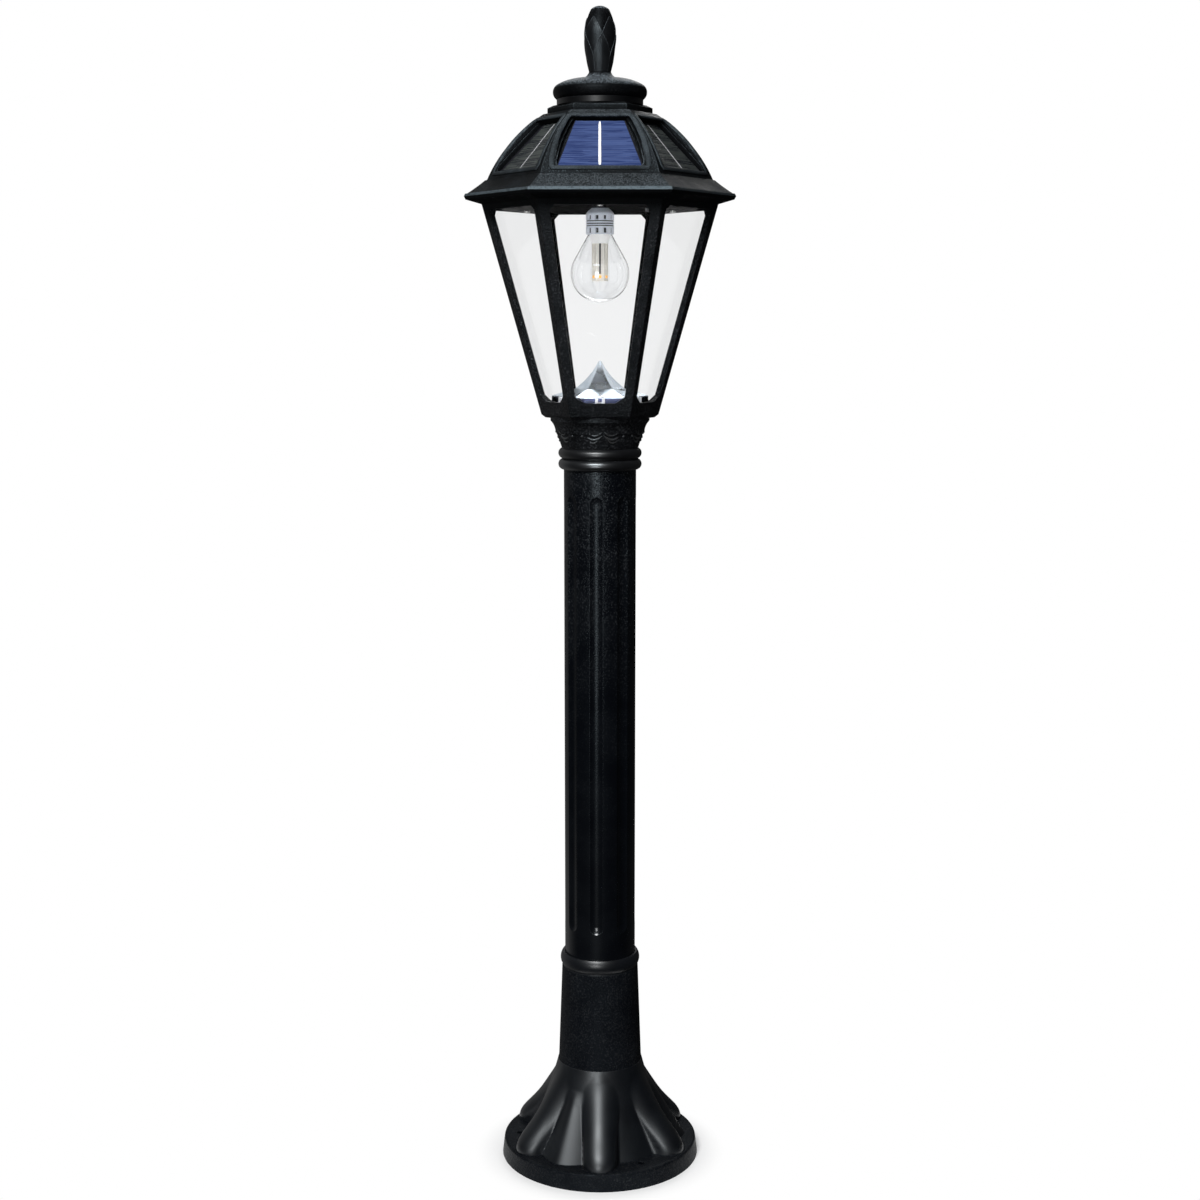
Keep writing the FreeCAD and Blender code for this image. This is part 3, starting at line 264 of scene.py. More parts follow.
# finial: its dust tone is a painted highlight on the top of the disc
finialLook = dict(satinLook, colour=(0.0012, 0.0013, 0.0016, 1), cloud=(0.0022, 0.0024, 0.0028, 1),
                  specular=0.05, rough=(0.36, 0.44), dustAndTopLight=1.0, dustAndTopLightTone=(0.17, 0.20, 0.225, 1),
                  polished=((finialFoot, finialFoot + 5.8 * mm),), coat=(1.0, 0.3))
budLook = dict(satinLook, specular=0.3, rough=(0.36, 0.46), polished=(), wearAndSheen=(0.105, 0.122, 0.138, 1),
               wear=3.0, dustAndTopLight=0.5)
# swags: a lighter copy of the satin resin, painted as lit
swagLook = dict(satinLook, colour=(0.022, 0.0225, 0.0235, 1), cloud=(0.034, 0.0345, 0.0355, 1), polished=())
# faces turned to the front get the pale marks as painted light; hollows get painted shade
paintedLightShape = {"paintedFrontLight": (0.47, 0.67, 0.12, 1.5), "unoccluded": (0.58, 0.92), "samples": 6}
resinMix = {"tint": (0.78, 0.92, 1.0, 1), "dustAndTopLightTone": (0.102, 0.118, 0.130, 1),
            # colour and added roughness of the painted shade
            "paintedShade": (0.001, 0.001, 0.0012, 1), "paintedShadeRough": 0.45, "dustAndTopLightRough": 0.4,
            "clouds": (0.35, 0.68), "smoothGrain": 0.12, "polishedGrain": 0.1,
            "scuffScale": 340.0, "scuffs": (0.34, 0.62, 0.25, 1.0)}


def within(tree, zones):  # 1 at heights inside one of the zones
    level = height(tree)
    total = 0.0
    for low, high in zones:
        inside = times(tree, calc(tree, "GREATER_THAN", level, low), calc(tree, "LESS_THAN", level, high))
        total = calc(tree, "ADD", total, inside, True)
    return total


def paintedLightAndShade(tree, look):  # painted light on faces turned to the front, and painted shade under the eave, under the lip and in hollows
    if "paintedEaveShadow" in look:
        return 1.0, remap(tree, height(tree), *look["paintedEaveShadow"])
    if "paintedLightFacing" not in look:
        return 1.0, 0.0
    paintedFrontLight = remap(tree, alignment(tree, faceNormal(tree), look["paintedLightFacing"]), *paintedLightShape["paintedFrontLight"])
    hollow = addNode(tree, "ShaderNodeAmbientOcclusion", samples=paintedLightShape["samples"])
    feed(tree, hollow, Distance=look["hollow"])
    unoccluded = remap(tree, hollow.outputs["AO"], *paintedLightShape["unoccluded"])
    unshaded = times(tree, unoccluded, calc(tree, "SUBTRACT", 1.0, within(tree, look["shaded"])))
    return times(tree, paintedFrontLight, unshaded), calc(tree, "SUBTRACT", 1.0, unshaded)


def resinFinish(name, look):
    finish, tree, shader = newFinish(name, Specular_IOR_Level=look["specular"],
                                     Specular_Tint=resinMix["tint"])
    grain = placeGroup(tree, castGrain, Scale=look["grainScale"])
    edges = placeGroup(tree, edgeBends, Radius=look["edge"], Gain=look["wear"])
    dustAndTopLight = placeGroup(tree, upwardDustAndLight, Amount=look["dustAndTopLight"])
    shown = 1.0
    if "grainFrom" in look:  # smooth below, grained above
        shown = remap(tree, height(tree), *look["grainFrom"], resinMix["smoothGrain"], 1.0)
    if "polished" in look:  # smooth parts that shine
        smooth = within(tree, look["polished"])
        if "fade" in look:
            smooth = times(tree, smooth, remap(tree, height(tree), *look["fade"], 1.0, 0.0))
        shown = times(tree, shown, remap(tree, smooth, 0.0, 1.0, 1.0, resinMix["polishedGrain"]))
        shine, coatRough = look["coat"]
        feed(tree, shader, Coat_Weight=times(tree, smooth, shine), Coat_Roughness=coatRough)
    # share of painted front light, and share of painted shade
    paintedLitShare, paintedShade = paintedLightAndShade(tree, look)
    clouds = remap(tree, grain["Patches"], *resinMix["clouds"])
    colour = mixColour(tree, clouds, look["colour"], look["cloud"])
    # painted glints on the grain tops, on the front-lit faces only
    paintedGlints = times(tree, times(tree, grain["PaintedGlints"], shown), paintedLitShare)
    colour = mixColour(tree, paintedGlints, colour, look["paintedGlint"])
    # pale edges: wear, and on the roof, rims and bud also painted edge highlights
    colour = mixColour(tree, times(tree, edges["Mask"], paintedLitShare), colour, look["wearAndSheen"])
    if "rubbedAndPaintedLight" in look:  # strip rubbed pale and painted as a lit lip edge, with scuffs along it
        scuffs = noise(tree, objectPlace(tree), resinMix["scuffScale"], 4.0, 0.7)
        scuffs = times(tree, remap(tree, scuffs, *resinMix["scuffs"]), paintedLitShare)
        rubbedAndPaintedLight = times(tree, within(tree, look["rubbedAndPaintedLight"]), scuffs)
        colour = mixColour(tree, rubbedAndPaintedLight, colour, look["rubbedAndPaintedLightColour"])
    dustAndTopLightTone = look.get("dustAndTopLightTone", resinMix["dustAndTopLightTone"])
    # dust, and painted top light on upward faces
    colour = mixColour(tree, times(tree, dustAndTopLight["Mask"], paintedLitShare), colour, dustAndTopLightTone)
    # painted shade: near black under the eave, under the lip and in hollows
    colour = mixColour(tree, paintedShade, colour, resinMix["paintedShade"])
    rough = remap(tree, grain["Patches"], *usualSpan, *look["rough"])
    rough = calc(tree, "ADD", rough, times(tree, paintedShade, resinMix["paintedShadeRough"]))
    rough = calc(tree, "ADD", rough, times(tree, dustAndTopLight["Mask"], resinMix["dustAndTopLightRough"]), True)
    feed(tree, shader, Base_Color=colour, Roughness=rough)
    addBump(tree, shader, times(tree, grain["Height"], shown), look["grainDepth"], edges["Normal"])
    return finish


roofResin = resinFinish("roofResin", roofLook)
rimResin = resinFinish("rimResin", rimLook)
frameResin = resinFinish("frameResin", frameLook)
postResin = resinFinish("postResin", postLook)
footResin = resinFinish("footResin", footLook)
petalResin = resinFinish("petalResin", petalLook)
satinResin = resinFinish("satinResin", satinLook)
finialResin = resinFinish("finialResin", finialLook)
budResin = resinFinish("budResin", budLook)
swagResin = resinFinish("swagResin", swagLook)


# Clear panes and bulb glass

paneLook = {"tint": (0.945, 0.948, 0.950, 1), "ior": 1.18, "smear": (0.0, 0.05)}
bulbLook = {"tint": (0.985, 0.99, 0.995, 1), "ior": 1.45, "smear": (0.0, 0.02)}
glassSmears = {"scale": 32.0, "span": (0.45, 0.75)}


def glassFinish(name, look):
    finish, tree, shader = newFinish(name, Base_Color=look["tint"], Transmission_Weight=1.0, IOR=look["ior"],
                                     Metallic=0.0)
    smears = noise(tree, objectPlace(tree), glassSmears["scale"], 5.0, 0.6)
    feed(tree, shader, Roughness=remap(tree, smears, *glassSmears["span"], *look["smear"]))
    return finish


paneGlass = glassFinish("paneGlass", paneLook)
bulbGlass = glassFinish("bulbGlass", bulbLook)


# Reflector, metals and plastics

metalGrain = {"scale": 160.0, "finer": 8, "scratch": 0.02 * mm, "edge": 0.5 * mm, "wear": 1.0}


def metalFinish(name, colour, rough):
    finish, tree, shader = newFinish(name, Base_Color=colour, Metallic=1.0)
    place = objectPlace(tree)
    patches = noise(tree, place, metalGrain["scale"], 4.0)
    feed(tree, shader, Roughness=remap(tree, patches, *usualSpan, *rough))
    edges = placeGroup(tree, edgeBends, Radius=metalGrain["edge"], Gain=metalGrain["wear"])
    scratches = noise(tree, place, metalGrain["scale"] * metalGrain["finer"], 3.0)
    addBump(tree, shader, scratches, metalGrain["scratch"], edges["Normal"])
    return finish


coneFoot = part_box("reflector_cone")[0].z
reflectorLook = {"bright": (0.70, 0.77, 0.84, 1), "dull": (0.52, 0.60, 0.68, 1), "tarnishScale": 60.0,
                 # crease: painted shade along the creases
                 "tarnish": (0.35, 0.65), "crease": (0.05, 0.06, 0.08, 1), "edge": 0.9 * mm, "wear": 5.0,
                 "wall": ((coneFoot - spare, coneFoot + 9.7 * mm),), "paintedWallReflection": (0.05, 0.058, 0.11, 1),
                 "rough": (0.24, 0.36), "depth": 0.04 * mm}


def reflectorFinish(look):  # bright skin with painted shade at its creases and a painted dark blue reflection on the wall under the tray
    finish, tree, shader = newFinish("mirrorCone", Metallic=1.0)
    tarnish = remap(tree, noise(tree, objectPlace(tree), look["tarnishScale"], 5.0), *look["tarnish"])
    edges = placeGroup(tree, edgeBends, Radius=look["edge"], Gain=look["wear"])
    colour = mixColour(tree, tarnish, look["bright"], look["dull"])
    colour = mixColour(tree, edges["Mask"], colour, look["crease"])
    colour = mixColour(tree, within(tree, look["wall"]), colour, look["paintedWallReflection"])
    feed(tree, shader, Base_Color=colour, Roughness=remap(tree, tarnish, 0.0, 1.0, *look["rough"]))
    addBump(tree, shader, tarnish, look["depth"], edges["Normal"])
    return finish


plasticGrain = {"scale": 900.0, "depth": 0.05 * mm, "edge": 0.4 * mm, "wear": 1.2, "paler": 1.25,
                "lift": 0.02}


def plasticFinish(name, colour, shade, rough, sheen=0.4, glow=0.0):
    finish, tree, shader = newFinish(name, Specular_IOR_Level=sheen, Emission_Strength=glow)
    grain = placeGroup(tree, castGrain, Scale=plasticGrain["scale"])
    edges = placeGroup(tree, edgeBends, Radius=plasticGrain["edge"], Gain=plasticGrain["wear"])
    colour = mixColour(tree, remap(tree, grain["Patches"], *usualSpan), colour, shade)
    pale = tuple(min(1.0, part * plasticGrain["paler"] + plasticGrain["lift"]) for part in shade[:3]) + (1,)
    colour = mixColour(tree, edges["Mask"], colour, pale)
    rough = remap(tree, grain["Patches"], *usualSpan, *rough)
    feed(tree, shader, Base_Color=colour, Emission_Color=colour, Roughness=rough)
    addBump(tree, shader, grain["Height"], plasticGrain["depth"], edges["Normal"])
    return finish


mirrorCone = reflectorFinish(reflectorLook)
brightSteel = metalFinish("brightSteel", (0.56, 0.56, 0.55, 1), (0.22, 0.36))
capNickel = metalFinish("capNickel", (0.68, 0.66, 0.60, 1), (0.18, 0.32))
# clips and stem glow: painted light in place of the lamp light that the panes keep out
clipWhite = plasticFinish("clipWhite", (0.74, 0.76, 0.78, 1), (0.66, 0.68, 0.72, 1), (0.35, 0.5), glow=0.2)
collarWhite = plasticFinish("collarWhite", (0.74, 0.77, 0.84, 1), (0.62, 0.67, 0.76, 1), (0.3, 0.45))
stemWhite = plasticFinish("stemWhite", (0.96, 0.96, 0.95, 1), (0.92, 0.92, 0.91, 1), (0.4, 0.55), glow=0.4)
slotShade = plasticFinish("slotShade", (0.016, 0.017, 0.022, 1), (0.010, 0.011, 0.015, 1), (0.4, 0.55))
innerGrey = plasticFinish("innerGrey", (0.006, 0.006, 0.0065, 1), (0.004, 0.004, 0.0045, 1), (0.5, 0.65),
                          sheen=0.0)
batteryWrap = plasticFinish("batteryWrap", (0.05, 0.22, 0.12, 1), (0.04, 0.18, 0.10, 1), (0.25, 0.35))
boardGreen = plasticFinish("boardGreen", (0.02, 0.14, 0.06, 1), (0.015, 0.10, 0.045, 1), (0.3, 0.45))
sliderGrey = plasticFinish("sliderGrey", (0.10, 0.10, 0.105, 1), (0.08, 0.08, 0.085, 1), (0.4, 0.55))
print("resins, glass, metals and plastics ready")


# Solar cells: dark blue flakes with fine level lines

frontCell = {"deep": (0.017, 0.029, 0.094, 1), "pale": (0.044, 0.070, 0.180, 1),
             "line": (0.100, 0.130, 0.250, 1)}
# side cells: the same cells painted dark, with painted shade and reflection
shadedSideCell = {"deep": (0.011, 0.013, 0.016, 1), "pale": (0.050, 0.057, 0.053, 1),
            "line": (0.100, 0.108, 0.108, 1)}
cellPattern = {"stretch": (0.06, 1.0, 1.0), "flakeScale": 0.55, "flakeShare": 0.45, "streakScale": 1.1,
               "streakShare": 0.55, "span": (0.2, 0.8), "linePitch": 2.8, "line": (0.05, 0.28, 1.0, 0.0),
               "lineBreaks": (0.3, 0.6, 0.25, 1.0), "lineShare": 0.6, "rough": (0.22, 0.42),
               "depth": 0.05 * mm}


def cellFinish(name, look):  # lengths of the pattern are in the cell map's millimetres
    finish, tree, shader = newFinish(name, Coat_Weight=0.10, Coat_Roughness=0.08, Specular_IOR_Level=0.15)
    spot = addNode(tree, "ShaderNodeTexCoord").outputs["UV"]
    stretch = addNode(tree, "ShaderNodeVectorMath", operation="MULTIPLY")
    plug(tree, stretch.inputs[0], spot)
    stretch.inputs[1].default_value = cellPattern["stretch"]
    flakes = addNode(tree, "ShaderNodeTexVoronoi", feature="F1")
    feed(tree, flakes, Vector=stretch.outputs[0], Scale=cellPattern["flakeScale"])
    shine = addNode(tree, "ShaderNodeSeparateColor")
    plug(tree, shine.inputs[0], flakes.outputs["Color"])
    streaks = noise(tree, stretch.outputs[0], cellPattern["streakScale"], 5.0, 0.7)
    share = calc(tree, "ADD", times(tree, shine.outputs[0], cellPattern["flakeShare"]),
                 times(tree, streaks, cellPattern["streakShare"]))
    colour = mixColour(tree, remap(tree, share, *cellPattern["span"]), look["deep"], look["pale"])
    gap = calc(tree, "PINGPONG", splitAxes(tree, spot)["Y"], cellPattern["linePitch"] / 2)
    breaks = remap(tree, streaks, *cellPattern["lineBreaks"])
    line = times(tree, remap(tree, gap, *cellPattern["line"]), breaks)
    colour = mixColour(tree, times(tree, line, cellPattern["lineShare"]), colour, look["line"])
    rough = remap(tree, share, *cellPattern["span"], *cellPattern["rough"])
    feed(tree, shader, Base_Color=colour, Roughness=rough)
    addBump(tree, shader, share, cellPattern["depth"])
    return finish


frontBlue = cellFinish("frontCellBlue", frontCell)
sideCellShade = cellFinish("sideCellPaintedShade", shadedSideCell)
backingBlack = plasticFinish("cellBacking", (0.010, 0.010, 0.014, 1), (0.014, 0.014, 0.018, 1), (0.3, 0.4))
busbarSilver = plasticFinish("busbarSilver", (0.88, 0.88, 0.88, 1), (0.80, 0.80, 0.82, 1), (0.35, 0.5))
# side busbars: painted shade
busbarPaintedShade = plasticFinish("busbarPaintedShade", (0.42, 0.42, 0.44, 1), (0.34, 0.34, 0.36, 1), (0.35, 0.5))


# Light column and amber chips inside the bulb

columnLook = {"cream": (0.97, 0.94, 0.87, 1), "shade": (0.92, 0.88, 0.80, 1), "slitShade": (0.03, 0.03, 0.03, 1),
              "slit": (0.7 * mm, 1.2 * mm), "slitFoot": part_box("led_column")[0].z + 7.3 * mm, "scale": 260.0,
              "rough": (0.38, 0.55), "glow": 0.14}
# amber chips glow as painted light; the LEDs are off
amberLook = {"deep": (0.92, 0.36, 0.02, 1), "bright": (1.0, 0.50, 0.05, 1), "scale": 700.0,
             "rough": (0.3, 0.5), "glow": 0.75}


def columnFinish(look):  # cream column with painted slit shade down its front and back, and a painted glow
    finish, tree, shader = newFinish("columnCream", Specular_IOR_Level=0.4, Emission_Strength=look["glow"])
    aside = calc(tree, "ABSOLUTE", splitAxes(tree, objectPlace(tree))["X"])
    above = calc(tree, "GREATER_THAN", height(tree), look["slitFoot"])
    slit = times(tree, remap(tree, aside, *look["slit"], 1.0, 0.0), above)
    patches = remap(tree, noise(tree, objectPlace(tree), look["scale"]), *usualSpan)
    colour = mixColour(tree, slit, mixColour(tree, patches, look["cream"], look["shade"]), look["slitShade"])
    rough = remap(tree, patches, 0.0, 1.0, *look["rough"])
    feed(tree, shader, Base_Color=colour, Emission_Color=colour, Roughness=rough)
    return finish


def amberFinish(look):
    finish, tree, shader = newFinish("ledAmber", Emission_Strength=look["glow"], Coat_Weight=0.2)
    domes = remap(tree, noise(tree, objectPlace(tree), look["scale"]), *usualSpan)
    amber = mixColour(tree, domes, look["deep"], look["bright"])
    rough = remap(tree, domes, 0.0, 1.0, *look["rough"])
    feed(tree, shader, Base_Color=amber, Emission_Color=amber, Roughness=rough)
    return finish


columnCream = columnFinish(columnLook)
ledAmber = amberFinish(amberLook)


# CAD nodes take their finishes

nodeFinishes = {
    "base_foot": footResin, "post_tube": postResin, "post_collar": satinResin, "post_screws": brightSteel,
    "lantern_frame": frameResin, "pane_clips": clipWhite, "reflector_cone": mirrorCone,
    "roof_shell": roofResin, "finial": finialResin, "finial_stud": brightSteel, "finial_nut": brightSteel,
    "ceiling_plate": innerGrey, "ceiling_screws": brightSteel, "lampholder": innerGrey,
    "battery_cell": batteryWrap, "battery_cradle": innerGrey, "circuit_board": boardGreen,
    "board_pillars": innerGrey, "switch_body": innerGrey, "switch_slider": sliderGrey,
    "bulb_glass": bulbGlass, "bulb_collar": collarWhite, "bulb_cap": capNickel, "bulb_contact": brightSteel,
    "bulb_stem": stemWhite, "led_column": columnCream, "led_chips": ledAmber,
}
sides = range(1, 7)
nodeFinishes.update({f"pane_{side}": paneGlass for side in sides})
nodeFinishes.update({f"solar_panel_{side}": backingBlack for side in sides})
for name, finish in nodeFinishes.items():
    nodes[name].data.materials.clear()
    nodes[name].data.materials.append(finish)
print("finishes set on", len(nodeFinishes), "nodes")


# Mesh helpers

castFrom = 0.3  # metres from the axis or the ground, outside what is cast on


def finishPiece(name, form, finish, body, sharp=0.7):
    bmesh.ops.recalc_face_normals(form, faces=form.faces[:])
    mesh = bpy.data.meshes.new(name)
    form.to_mesh(mesh)
    form.free()
    mesh.materials.append(finish)
    mesh.polygons.foreach_set("use_smooth", [True] * len(mesh.polygons))
    mesh.set_sharp_from_angle(angle=sharp)
    piece = bpy.data.objects.new(name, mesh)
    scene.collection.objects.link(piece)
    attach(piece, body)
    return piece


def shellOf(node):
    mesh = nodes[node].data
    return BVHTree.FromPolygons([v.co for v in mesh.vertices], [p.vertices[:] for p in mesh.polygons])


def outerPoint(shell, bearing, up):  # bearing in degrees, 0 at the front, turning towards +X
    angle = math.radians(bearing - 90)
    outward = Vector((math.cos(angle), math.sin(angle), 0))
    spot, normal, _, _ = shell.ray_cast(outward * castFrom + Vector((0, 0, up)), -outward)
    return spot, normal


def reachAt(shell, bearing, up):
    return outerPoint(shell, bearing, up)[0].xy.length


def roundTurns(count):  # angles of evenly spaced points on a circle
    return [2 * math.pi * step / count for step in range(count)]


def shares(count):  # even steps from 0 to 1
    return [step / count for step in range(count + 1)]


def joinGrid(form, rows):  # faces between rows of vertices
    for low, high in zip(rows, rows[1:]):
        for index in range(len(low) - 1):
            form.faces.new((low[index], low[index + 1], high[index + 1], high[index]))


def joinRings(form, rings):  # a tube with closed ends
    joinGrid(form, [ring + ring[:1] for ring in rings])
    form.faces.new(rings[0])
    form.faces.new(rings[-1])


def joinLoop(form, rings):  # a tube that runs back into its first ring
    joinGrid(form, [ring + ring[:1] for ring in rings + rings[:1]])


# Solar cell sheets and their busbars, laid on the CAD panels

cellSheet = {"inset": 1.2 * mm, "sideInset": 1.44 * mm, "thick": 0.35 * mm, "corner": 3.0 * mm,
             "cornerSteps": 6, "facing": 0.4, "headBand": 0.5 * mm, "footBand": 0.2 * mm, "mapStep": 60,
             "mapUp": 40, "sharp": 0.5}
busbar = {"half": 1.5 * mm, "sideShare": 0.4, "topShare": 0.8, "thick": 0.3 * mm, "inset": 2.2 * mm,
          "foot": ((1.0, 0.7), (3.0, 1.0)), "head": ((3.0, 0.9), (0.5, 0.55))}


def panelFace(name):  # middle and axes of the panel's outer face, and its points along those axes
    mesh = nodes[name].data
    middle = sum((v.co for v in mesh.vertices), Vector()) / len(mesh.vertices)
    outward = Vector((middle.x, middle.y, 0)).normalized()
    facing = {}
    for polygon in mesh.polygons:
        if min(polygon.normal.dot(outward), polygon.normal.z) > cellSheet["facing"]:
            key = tuple(round(part, 2) for part in polygon.normal)
            facing.setdefault(key, []).append(polygon)
    flat = max(facing.values(), key=lambda group: sum(p.area for p in group))
    normal = flat[0].normal.copy()
    across = Vector((0, 0, 1)).cross(normal).normalized()
    upSlope = normal.cross(across)
    points = [mesh.vertices[index].co for polygon in flat for index in polygon.vertices]
    origin = sum(points, Vector()) / len(points)
    flatPoints = [((p - origin).dot(across), (p - origin).dot(upSlope)) for p in points]
    return origin, across, upSlope, normal, flatPoints


def edgeLine(flatPoints):  # foot and head of the face, and its half width as a straight line between them
    low = min(v for _, v in flatPoints)
    high = max(v for _, v in flatPoints)
    headHalf = max(u for u, v in flatPoints if v > high - cellSheet["headBand"])
    footHalf = max(u for u, v in flatPoints)
    footLevel = min(v for u, v in flatPoints if u > footHalf - cellSheet["footBand"])
    slope = (headHalf - footHalf) / (high - footLevel)
    return low, high, lambda v: footHalf + (v - footLevel) * slope


def layCell(side):
    origin, across, upSlope, normal, flatPoints = panelFace(f"solar_panel_{side}")
    low, high, half = edgeLine(flatPoints)
    low += cellSheet["inset"]
    high -= cellSheet["inset"]
    corner = cellSheet["corner"]

    def place(u, v, lift):
        return origin + across * u + upSlope * v + normal * lift

    edge = half(low + corner) - cellSheet["sideInset"]
    turns = [math.pi / 2 * share for share in shares(cellSheet["cornerSteps"])]
    run = [(edge - corner * (1 - math.sin(t)), low + corner * (1 - math.cos(t))) for t in turns]
    run.append((half(high) - cellSheet["sideInset"], high))
    outline = run + [(-u, v) for u, v in reversed(run)]
    form = bmesh.new()
    cellMap = form.loops.layers.uv.new("cellMap")
    rings = [[form.verts.new(place(u, v, lift)) for u, v in outline] for lift in (0.0, cellSheet["thick"])]
    flats = {vert: spot for ring in rings for vert, spot in zip(ring, outline)}
    joinRings(form, rings)
    for face in form.faces:
        for loop in face.loops:
            u, v = flats[loop.vert]
            loop[cellMap].uv = (u / mm + cellSheet["mapStep"] * side, v / mm + cellSheet["mapUp"])
    finishPiece(f"cellSheet{side}", form, frontBlue if side == 1 else sideCellShade, "roof",
                cellSheet["sharp"])

    bar = bmesh.new()
    wide = busbar["half"] * (1.0 if side == 1 else busbar["sideShare"])
    lift = cellSheet["thick"]
    top = lift + busbar["thick"]
    flat = wide * busbar["topShare"]
    section = ((-wide, lift), (-flat, top), (flat, top), (wide, lift))
    stations = [(low + busbar["inset"] * insets, share) for insets, share in busbar["foot"]]
    stations += [(high - busbar["inset"] * insets, share) for insets, share in busbar["head"]]
    joinRings(bar, [[bar.verts.new(place(u * share, v, rise)) for u, rise in section]
                    for v, share in stations])
    finishPiece(f"busbar{side}", bar, busbarSilver if side == 1 else busbarPaintedShade, "roof",
                cellSheet["sharp"])


for side in sides:
    layCell(side)
print("solar cells laid")


# Ornament band on the cup: pairs of hanging swags with two beads between the pairs

swagBand = {"pairs": 5, "front": 4.0, "halfTurn": 11.0, "tilt": 0.9 * mm, "steps": 14, "sides": 8,
            "proud": 1.15, "thinnest": 0.12, "taper": 0.6, "beadUp": ringTop + 25.2 * mm, "beadTurn": 7.5,
            "beadR": 1.25 * mm, "beadTilts": (-0.5, 0.0, 0.5, 1.0, 1.45), "beadSides": 10}
swagStrands = ({"up": ringTop + 29.0 * mm, "reach": 8.2, "sag": 2.8 * mm, "thick": 0.95 * mm, "inward": 1.4},
               {"up": ringTop + 25.2 * mm, "reach": 9.8, "sag": 3.2 * mm, "thick": 1.15 * mm, "inward": 0.0},
               {"up": ringTop + 20.7 * mm, "reach": 5.8, "sag": 2.2 * mm, "thick": 0.9 * mm, "inward": -1.6})


def addStrand(form, shell, strand, bearing, tilt):  # one tapered hanging strand
    spots = []
    for share in shares(swagBand["steps"]):
        t = share * 2 - 1
        level = strand["up"] - strand["sag"] * (1 - t * t) + tilt * t
        radius = strand["thick"] * max(swagBand["thinnest"], 1 - t * t) ** swagBand["taper"]
        spots.append((*outerPoint(shell, bearing + strand["reach"] * t, level), radius))
    rings = []
    for index, (spot, normal, radius) in enumerate(spots):
        before = spots[max(index - 1, 0)][0]
        after = spots[min(index + 1, swagBand["steps"])][0]
        side = (after - before).normalized().cross(normal).normalized()
        out = normal * (radius * swagBand["proud"])
        rings.append([form.verts.new(spot + out * math.cos(turn) + side * (math.sin(turn) * radius))
                      for turn in roundTurns(swagBand["sides"])])
    joinRings(form, rings)


def addBead(form, shell, bearing):
    spot, normal = outerPoint(shell, bearing, swagBand["beadUp"])
    side = normal.cross(Vector((0, 0, 1))).normalized()
    rise = normal.cross(side)
    rings = []
    for tilt in swagBand["beadTilts"]:
        reach = swagBand["beadR"] * math.cos(tilt)
        middle = spot + normal * (swagBand["beadR"] * math.sin(tilt))
        rings.append([form.verts.new(middle + (side * math.cos(turn) + rise * math.sin(turn)) * reach)
                      for turn in roundTurns(swagBand["beadSides"])])
    joinRings(form, rings)


def carveBand():
    shell = shellOf("lantern_frame")
    form = bmesh.new()
    pairTurn = 360 / swagBand["pairs"]
    for pair in range(swagBand["pairs"]):
        centre = swagBand["front"] + pairTurn * pair
        for hand in (1, -1):
            for strand in swagStrands:
                bearing = centre + hand * (swagBand["halfTurn"] - strand["inward"])
                addStrand(form, shell, strand, bearing, -hand * swagBand["tilt"])
            addBead(form, shell, centre + pairTurn / 2 + hand * swagBand["beadTurn"])
    finishPiece("cupSwags", form, swagResin, "stand")


carveBand()
print("cup band carved")


# Soft skin over the foot's lobes: they run out into the flare without an edge

petalSkin = {"lobes": 6, "lobeR": 18 * mm, "flankFall": 3, "bareValley": 30.0, "flangeSpot": 95 * mm,
             "high": 107.2 * mm, "blend": 12 * mm, "leastBlend": 0.2 * mm, "blendRun": 45 * mm, "levels": 72,
             "around": 540, "lift": 0.15 * mm, "drop": 1.0 * mm, "inset": 2.0 * mm, "innerLevels": 5}
skinLeaf = {"leaves": 3, "front": -30.0, "facetTurn": 8.0, "crease": 4.0, "fullFall": 0.35 * mm,
            "lift": 0.5 * mm, "blend": 2.2 * mm}


def lobeReach(ridge, offset):  # from the axis to a lobe's round side, offset in radians from its ridge
    middle = ridge - petalSkin["lobeR"]
    spareR = petalSkin["lobeR"] - middle * math.sin(offset)
    if spareR < 0:
        return middle * math.cos(offset) + petalSkin["flankFall"] * spareR
    return middle * math.cos(offset) + math.sqrt(spareR * (2 * petalSkin["lobeR"] - spareR))


def softMax(first, second, blend):  # the larger one, with a fillet where they meet
    near = max(blend - abs(first - second), 0.0)
    return max(first, second) + near * near / (4 * blend)


def leafReach(crest, fall, bearing):  # from the axis to a leaf's two facets, soft along their crease
    share = 180 / skinLeaf["leaves"]
    turn = (bearing - skinLeaf["front"] + share) % (2 * share) - share
    return crest - fall * (math.hypot(turn, skinLeaf["crease"]) - skinLeaf["crease"])


def skinRing(form, shell, up, drop=0.0):
    share = 180 / petalSkin["lobes"]
    crest = reachAt(shell, skinLeaf["front"], up)
    facet = reachAt(shell, skinLeaf["front"] + skinLeaf["facetTurn"], up)
    fall = (crest - facet) / skinLeaf["facetTurn"]
    grown = min(1.0, fall / skinLeaf["fullFall"])  # the leaf fades into the flare at its tip
    ridge = reachAt(shell, 0.0, up)
    flare = reachAt(shell, petalSkin["bareValley"], up)
    below = min(1.0, (petalSkin["high"] - up) / petalSkin["blendRun"])
    blend = max(petalSkin["leastBlend"], petalSkin["blend"] * below)
    ring = []
    for step in range(petalSkin["around"]):
        bearing = 360 * step / petalSkin["around"]
        offset = math.radians(abs((bearing + share) % (2 * share) - share))
        reach = softMax(lobeReach(ridge, offset), flare, blend) + petalSkin["lift"]
        if grown > 0:
            leaf = leafReach(crest, fall, bearing) + skinLeaf["lift"] * grown
            reach = softMax(reach, leaf, skinLeaf["blend"] * grown)
        angle = math.radians(bearing - 90)
        ring.append(form.verts.new((math.cos(angle) * reach, math.sin(angle) * reach, up - drop)))
    return ring


